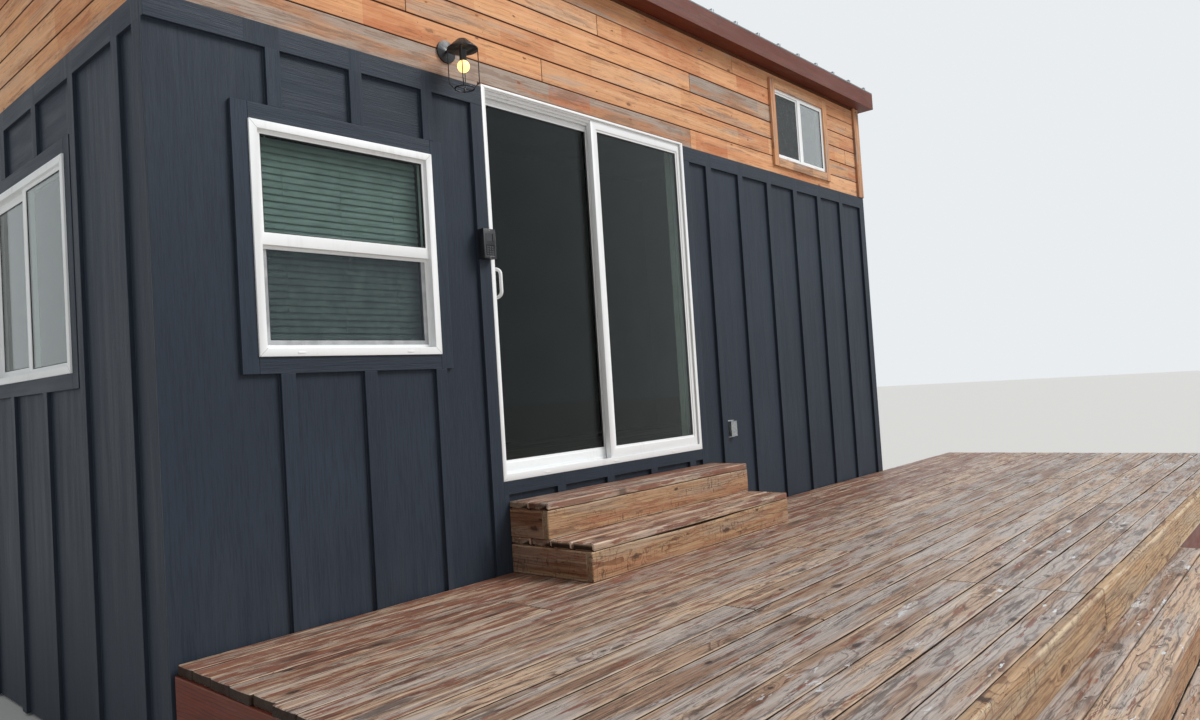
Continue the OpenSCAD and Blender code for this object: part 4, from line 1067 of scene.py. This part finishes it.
def hangBlind():
    low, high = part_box("window_blind")
    middle = low.y + (high.y - low.y) / 2
    centre, half = (low.x + high.x) / 2, (high.x - low.x) / 2
    top, under = high.z, high.z - blindSet["rail"]
    bm = newBoards()
    count = round((under - low.z) / blindSet["pitch"])
    tilt = math.radians(blindSet["tilt"])
    for i in range(1, count):
        z = under - i * blindSet["pitch"]
        lean = tilt + math.radians(chance.uniform(-2.5, 2.5))
        sag = chance.uniform(0, 0.0015)
        rows = []
        for x in (low.x, low.x + 0.15, centre, high.x - 0.15, high.x):
            drop = sag * (1 - abs(x - centre) / half)
            row = []
            for side, way in ((0, 1), (1, -1)):
                for k in range(5):
                    u = way * (k / 4 - 0.5)
                    w = blindSet["crown"] * (1 - 4 * u * u) - side * blindSet["thick"]
                    y = u * blindSet["slat"] * math.cos(lean) - w * math.sin(lean)
                    h = u * blindSet["slat"] * math.sin(lean) + w * math.cos(lean)
                    row.append(bm.verts.new((x, middle + y, z + h - drop)))
            rows.append(row)
        skinLoops(bm, rows)
    addBoard(bm, (low.x, middle - 0.012, under), (high.x, middle + 0.012, top), 0, 0.002)
    addBoard(bm, (low.x, middle - 0.006, low.z), (high.x, middle + 0.006, low.z + 0.01), 0, 0.002)
    newPiece("blindSlats", bm, "slatPaint", ("window_blind",), 35)
    cords = bmesh.new()
    for share in (1 / 6, 1 / 2, 5 / 6):
        x = low.x + (high.x - low.x) * share
        for y in (-0.0095, 0.0095):
            addTube(cords, [Vector((x, middle + y, top - 0.02)), Vector((x, middle + y, low.z + 0.004))],
                blindSet["cord"], 6)
    wand = low.x + blindSet["wandFrom"]
    addTube(cords, [Vector((wand, middle + 0.014, top - 0.012)),
        Vector((wand, middle + 0.017, top - 0.012 - blindSet["wandLength"]))], 0.003, 8)
    newPiece("blindCords", cords, "slatPaint")


hangBlind()


def fitScreen(names, left, right, under, over, front, back, ease, finish):
    # insect screen in a slim frame between its front and back faces
    bm = newBoards()
    rail, tuck = 0.014, 0.012
    for x in (left, right - rail):
        addBoard(bm, (x, front, under), (x + rail, back, over), 2, ease)
    for z in (under, over - rail):
        addBoard(bm, (left + rail, front, z), (right - rail, back, z + rail), 0, ease)
    newPiece(names[0], bm, "extrudedVinyl")
    weave, middle = bmesh.new(), (under + over) / 2
    faceBar(weave, 0, (front + back) / 2, -1, (left + tuck, middle), (right - tuck, middle),
        over - under - 0.026, 0.0004)
    newPiece(names[1], weave, finish)


# over the sliding light of the small window, and over the lower sash of the front one
fitScreen(("screenFrame", "screenWeave"), smallLow.x + 0.022, (smallLow.x + smallHigh.x) / 2 - 0.026,
    smallLow.z + 0.022, smallHigh.z - 0.022, smallLow.y + 0.008, smallLow.y + 0.016, 0.001, "wovenScreen")
fitScreen(("halfScreenFrame", "halfScreenWeave"), frontLow.x + 0.0345, frontHigh.x - 0.0345,
    frontLow.z + 0.0345, (frontLow.z + frontHigh.z) / 2 - 0.0255, frontLow.y + 0.0372, frontLow.y + 0.0386,
    0.0004, "halfScreenWeave")
print("door and windows fitted")


# Lantern, key box, outlet cover and screw eyes

fittingSet = dict(capReach=0.0749, bulbDrop=0.086, bulbRadius=0.0306, bulbCut=0.0602, eyeRing=0.011,
    eyeWire=0.0022, eyes=((3.68, 3.19), (6.13, 3.235)), keyRows=4, keyColumns=3, keyIn=0.016, keyShare=0.45,
    keySeam=(0.0018, 0.0016), crumple=0.0028)


def hangLantern():
    low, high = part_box("wall_lantern")
    axis = Vector(((low.x + high.x) / 2, low.y + (high.x - low.x) / 2))
    # the widest level of the cap, clear of the wall plate, sets the height of the bulb under it
    rim = max(v.co.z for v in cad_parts["wall_lantern"].data.vertices if v.co.y < axis.y
        and (v.co.xy - axis).length > fittingSet["capReach"])
    centre, top = Vector((*axis, rim - fittingSet["bulbDrop"])), rim - fittingSet["bulbCut"]

    def inBulb(point):
        return int((point - centre).length < fittingSet["bulbRadius"] and point.z < top)

    easeNode("wallLantern", "wall_lantern", ("blackPowderCoat", "warmLampGlass"), 0.0008,
        keep=40, smooth=38, pick=inBulb)


hangLantern()


def fitKeyBox():
    low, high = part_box("key_box")
    easeNode("keyBox", "key_box", "blackPowderCoat", 0.003, smooth=30)
    keys = newBoards()
    left, right, under = low.x + fittingSet["keyIn"], high.x - fittingSet["keyIn"], low.z + fittingSet["keyIn"]
    over = low.z + (high.z - low.z) * fittingSet["keyShare"] - 0.004
    rows, columns = fittingSet["keyRows"], fittingSet["keyColumns"]
    stepX, stepZ = (right - left) / columns, (over - under) / rows
    seamX, seamZ = fittingSet["keySeam"]
    for i in range(columns):
        for j in range(rows):
            x, z = left + i * stepX, under + j * stepZ
            near, far = (x + seamX, low.y + 0.0006, z + seamZ), (x + stepX - seamX, low.y + 0.003,
                z + stepZ - seamZ)
            addBoard(keys, near, far, 0, 0.0008)
    # bare name place over the keys, and the opening lever beside it
    for x0, x1, z0, z1, proud, axis, ease in ((low.x + 0.014, high.x - 0.026, 0.086, 0.128, 0.0006, 0, 0.0005),
            (high.x - 0.021, high.x - 0.013, 0.088, 0.126, 0.0025, 2, 0.001)):
        addBoard(keys, (x0, low.y - proud, low.z + z0), (x1, low.y + 0.0004, low.z + z1), axis, ease)
    newPiece("keyPad", keys, "mouldedKeyPlastic")
    # the two screws of its cover
    screws = bmesh.new()
    for z in (low.z + 0.008, high.z - 0.008):
        addDisc(screws, ((low.x + high.x) / 2, low.y + 0.0002, z), (0, -1, 0), 0.0028, 0.0006)
    newPiece("keyBoxScrews", screws, "zincPlate")


fitKeyBox()


def wrapOutlet():
    # foil pressed over the outlet cover, creased all over
    bm = cleanShape("outlet_cover")
    bmesh.ops.triangulate(bm, faces=bm.faces[:])
    for i in range(4):
        long = [e for e in bm.edges if e.calc_length() > 0.007]
        bmesh.ops.subdivide_edges(bm, edges=long, cuts=1, use_grid_fill=True)
        bmesh.ops.triangulate(bm, faces=bm.faces[:])
    low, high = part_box("outlet_cover")
    middle = (low + high) / 2
    for vert in bm.verts:
        fine = abs(noise.noise(vert.co * 120 + Vector((3, 1, 8))))
        crease = abs(noise.noise(vert.co * 55)) * 0.7 + fine * 0.5
        inward = middle - vert.co
        inward.y = (high.y - vert.co.y) * 0.6
        if vert.co.y < high.y - 0.006:
            vert.co += inward.normalized() * crease * fittingSet["crumple"] * 2
    bmesh.ops.recalc_face_normals(bm, faces=bm.faces[:])
    newPiece("outletCover", bm, "foilTape", ("outlet_cover",), 25)


wrapOutlet()


def setEyes():
    bm = bmesh.new()
    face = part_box("front_planks")[0].y
    for x, z in fittingSet["eyes"]:
        root = Vector((cabinCorner.x + x, face, deckTop + z))
        addTube(bm, [root, root + Vector((0, -0.012, 0))], fittingSet["eyeWire"], 8)
        centre = root + Vector((0.0, -0.012 - fittingSet["eyeRing"], 0))
        ring = []
        for i in range(15):
            a = math.radians(200 + 22.5 * i)
            ring.append(centre + Vector((0, -math.cos(a), math.sin(a))) * fittingSet["eyeRing"])
        addTube(bm, ring, fittingSet["eyeWire"], 8)
        addDisc(bm, root, (0, -1, 0), 0.008, 0.0015, 12, 0.0)
    newPiece("screwEyes", bm, "zincPlate", (), 50)


setEyes()
print("fittings hung")


# Roof, floor, frame and piers

roofSet = dict(ribPitch=0.305, ribsIn=0.028, screwAside=0.036, edgeClear=0.01, endIn=0.06, screwRows=5)
washer = dict(radius=0.0075, depth=0.0018, sink=0.0)
roofScrew = dict(radius=0.004, depth=0.0035, sides=6, sink=0.2)


def coverRoof():
    easeNode("roofSheet", "roof_metal", "coatedRoofSheet", 0.004, keep=20, segments=3, smooth=35)
    easeNode("roofEdge", "roof_fascia", "stainedFascia", 0.0025)
    easeNode("roofDecking", "roof_frame", "framingPine", 0.003)
    low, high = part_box("roof_metal")
    # levels of the flat sheet at both eaves, read below the ribs
    verts = [v.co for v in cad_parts["roof_metal"].data.vertices]
    tops = []
    for edge in (low.y, high.y):
        tops.append(sorted({round(v.z, 4) for v in verts if abs(v.y - edge) < 0.001})[1])
    fall = (tops[1] - tops[0]) / (high.y - low.y)
    pitch, rows, endIn = roofSet["ribPitch"], roofSet["screwRows"], roofSet["endIn"]
    count = int((high.x - low.x - roofSet["ribsIn"]) / pitch)
    start = (low.x + high.x) / 2 - count * pitch / 2
    bm = bmesh.new()
    for i in range(count + 1):
        for side in (-roofSet["screwAside"], roofSet["screwAside"]):
            x = start + i * pitch + side
            if not low.x + roofSet["edgeClear"] < x < high.x - roofSet["edgeClear"]:
                continue
            for row in range(rows):
                y = low.y + endIn + (high.y - low.y - 2 * endIn) * row / (rows - 1)
                z = tops[0] + fall * (y - low.y)
                addDisc(bm, (x, y, z - 0.0002), (0, 0, 1), **washer)
                addDisc(bm, (x, y, z + 0.0014), (0, 0, 1), **roofScrew)
    newPiece("roofScrews", bm, "zincPlate")


coverRoof()
shellSet = dict(stripWidth=0.089, stripLength=(0.9, 1.9), course=0.2, joint=0.010)


def layFloor():
    # oak strips with staggered ends over the floor of the box
    low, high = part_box("floor")
    bm = newBoards()
    rows = round((high.y - low.y) / shellSet["stripWidth"])
    wide = (high.y - low.y) / rows
    for row in range(rows):
        x = low.x
        while x < high.x - 0.01:
            end = min(high.x, x + chance.uniform(*shellSet["stripLength"]))
            if high.x - end < 0.4:
                end = high.x
            addBoard(bm, (x + 0.0003, low.y + row * wide + 0.0003, low.z),
                (end - 0.0003, low.y + (row + 1) * wide - 0.0003, high.z), 0, 0.0012, 0.0, 2.0)
            x = end
    newPiece("oakFloor", bm, "oiledOak", ("floor",))


layFloor()
easeNode("steelRails", "base_frame", "primedSteel", 0.003)


def stackPiers():
    # hollow courses of block laid crosswise on each other round a mortar core
    bm = newBoards()
    for low, high, plain in solidsOf("piers"):
        courses = round((high.z - low.z) / shellSet["course"])
        tall = (high.z - low.z) / courses
        half = shellSet["joint"] / 2
        addBoard(bm, low + Vector((0.006, 0.006, 0.001)), high - Vector((0.006, 0.006, 0.001)), 2, 0.002)
        for n in range(courses):
            z0 = low.z + n * tall + (half if n else 0)
            z1 = low.z + (n + 1) * tall - (half if n < courses - 1 else 0)
            run = n % 2
            for k in (0, 1):
                a, b = Vector((low.x, low.y, z0)), Vector((high.x, high.y, z1))
                middle = (low[1 - run] + high[1 - run]) / 2
                if k:
                    a[1 - run] = middle + half
                else:
                    b[1 - run] = middle - half
                addBoard(bm, a, b, run, 0.004, 0.0, 0.1, 0.004)
    newPiece("blockPiers", bm, "concreteBlock", ("piers",))


stackPiers()
for node in ("front_wall_left", "front_wall_right", "front_wall_over_door", "left_end_wall", "right_end_wall",
        "back_wall", "ceiling"):
    dress(node, "linedWall")
dress("sliding_glass", "coatedFloatGlass")
print("shell dressed")


# Floor, world and lamps

stageSet = dict(floorColour="#d9d7d3", skyColour="#e9edf0", worldStrength=0.52, sunStrength=2.45,
    sunAngle=28.0, sunFrom=(0.75, -0.91, 1.13))


def setStage():
    bm = bmesh.new()
    bmesh.ops.create_grid(bm, x_segments=2, y_segments=2, size=70)
    mesh = bpy.data.meshes.new("studioFloor")
    bm.to_mesh(mesh)
    bm.free()
    paint = newFinish("studioFloorPaint")[0]
    mesh.materials.append(coat(paint, {"Base Color": stageSet["floorColour"], "Roughness": 0.9}))
    floor = bpy.data.objects.new("studioFloor", mesh)
    bpy.context.scene.collection.objects.link(floor)
    floor.location.z = cadLow.z - 0.001

    world = bpy.data.worlds.new("studioSky")
    bpy.context.scene.world = world
    world.use_nodes = True
    tree = world.node_tree
    tree.nodes.clear()
    path = addNode(tree, "LightPath", {}).outputs
    seen = addNode(tree, "Math", plus, path["Is Camera Ray"], path["Is Transmission Ray"])
    seen = addNode(tree, "Math", plus, seen, path["Is Glossy Ray"])
    # a pale backdrop where it is seen, and a dimmer light for the rest
    strength = addNode(tree, "MapRange", {}, seen, 0, 1, stageSet["worldStrength"], 1.0)
    addNode(tree, "OutputWorld", {}, addNode(tree, "Background", {}, stageSet["skyColour"], strength))

    lamp = bpy.data.lights.new("softSun", "SUN")
    lamp.energy = stageSet["sunStrength"]
    lamp.angle = math.radians(stageSet["sunAngle"])
    sun = bpy.data.objects.new("softSun", lamp)
    bpy.context.scene.collection.objects.link(sun)
    sun.rotation_mode = "QUATERNION"
    sun.rotation_quaternion = Vector(stageSet["sunFrom"]).to_track_quat("Z", "Y")
    bpy.context.scene.view_settings.view_transform = "Standard"


setStage()
print("stage set")
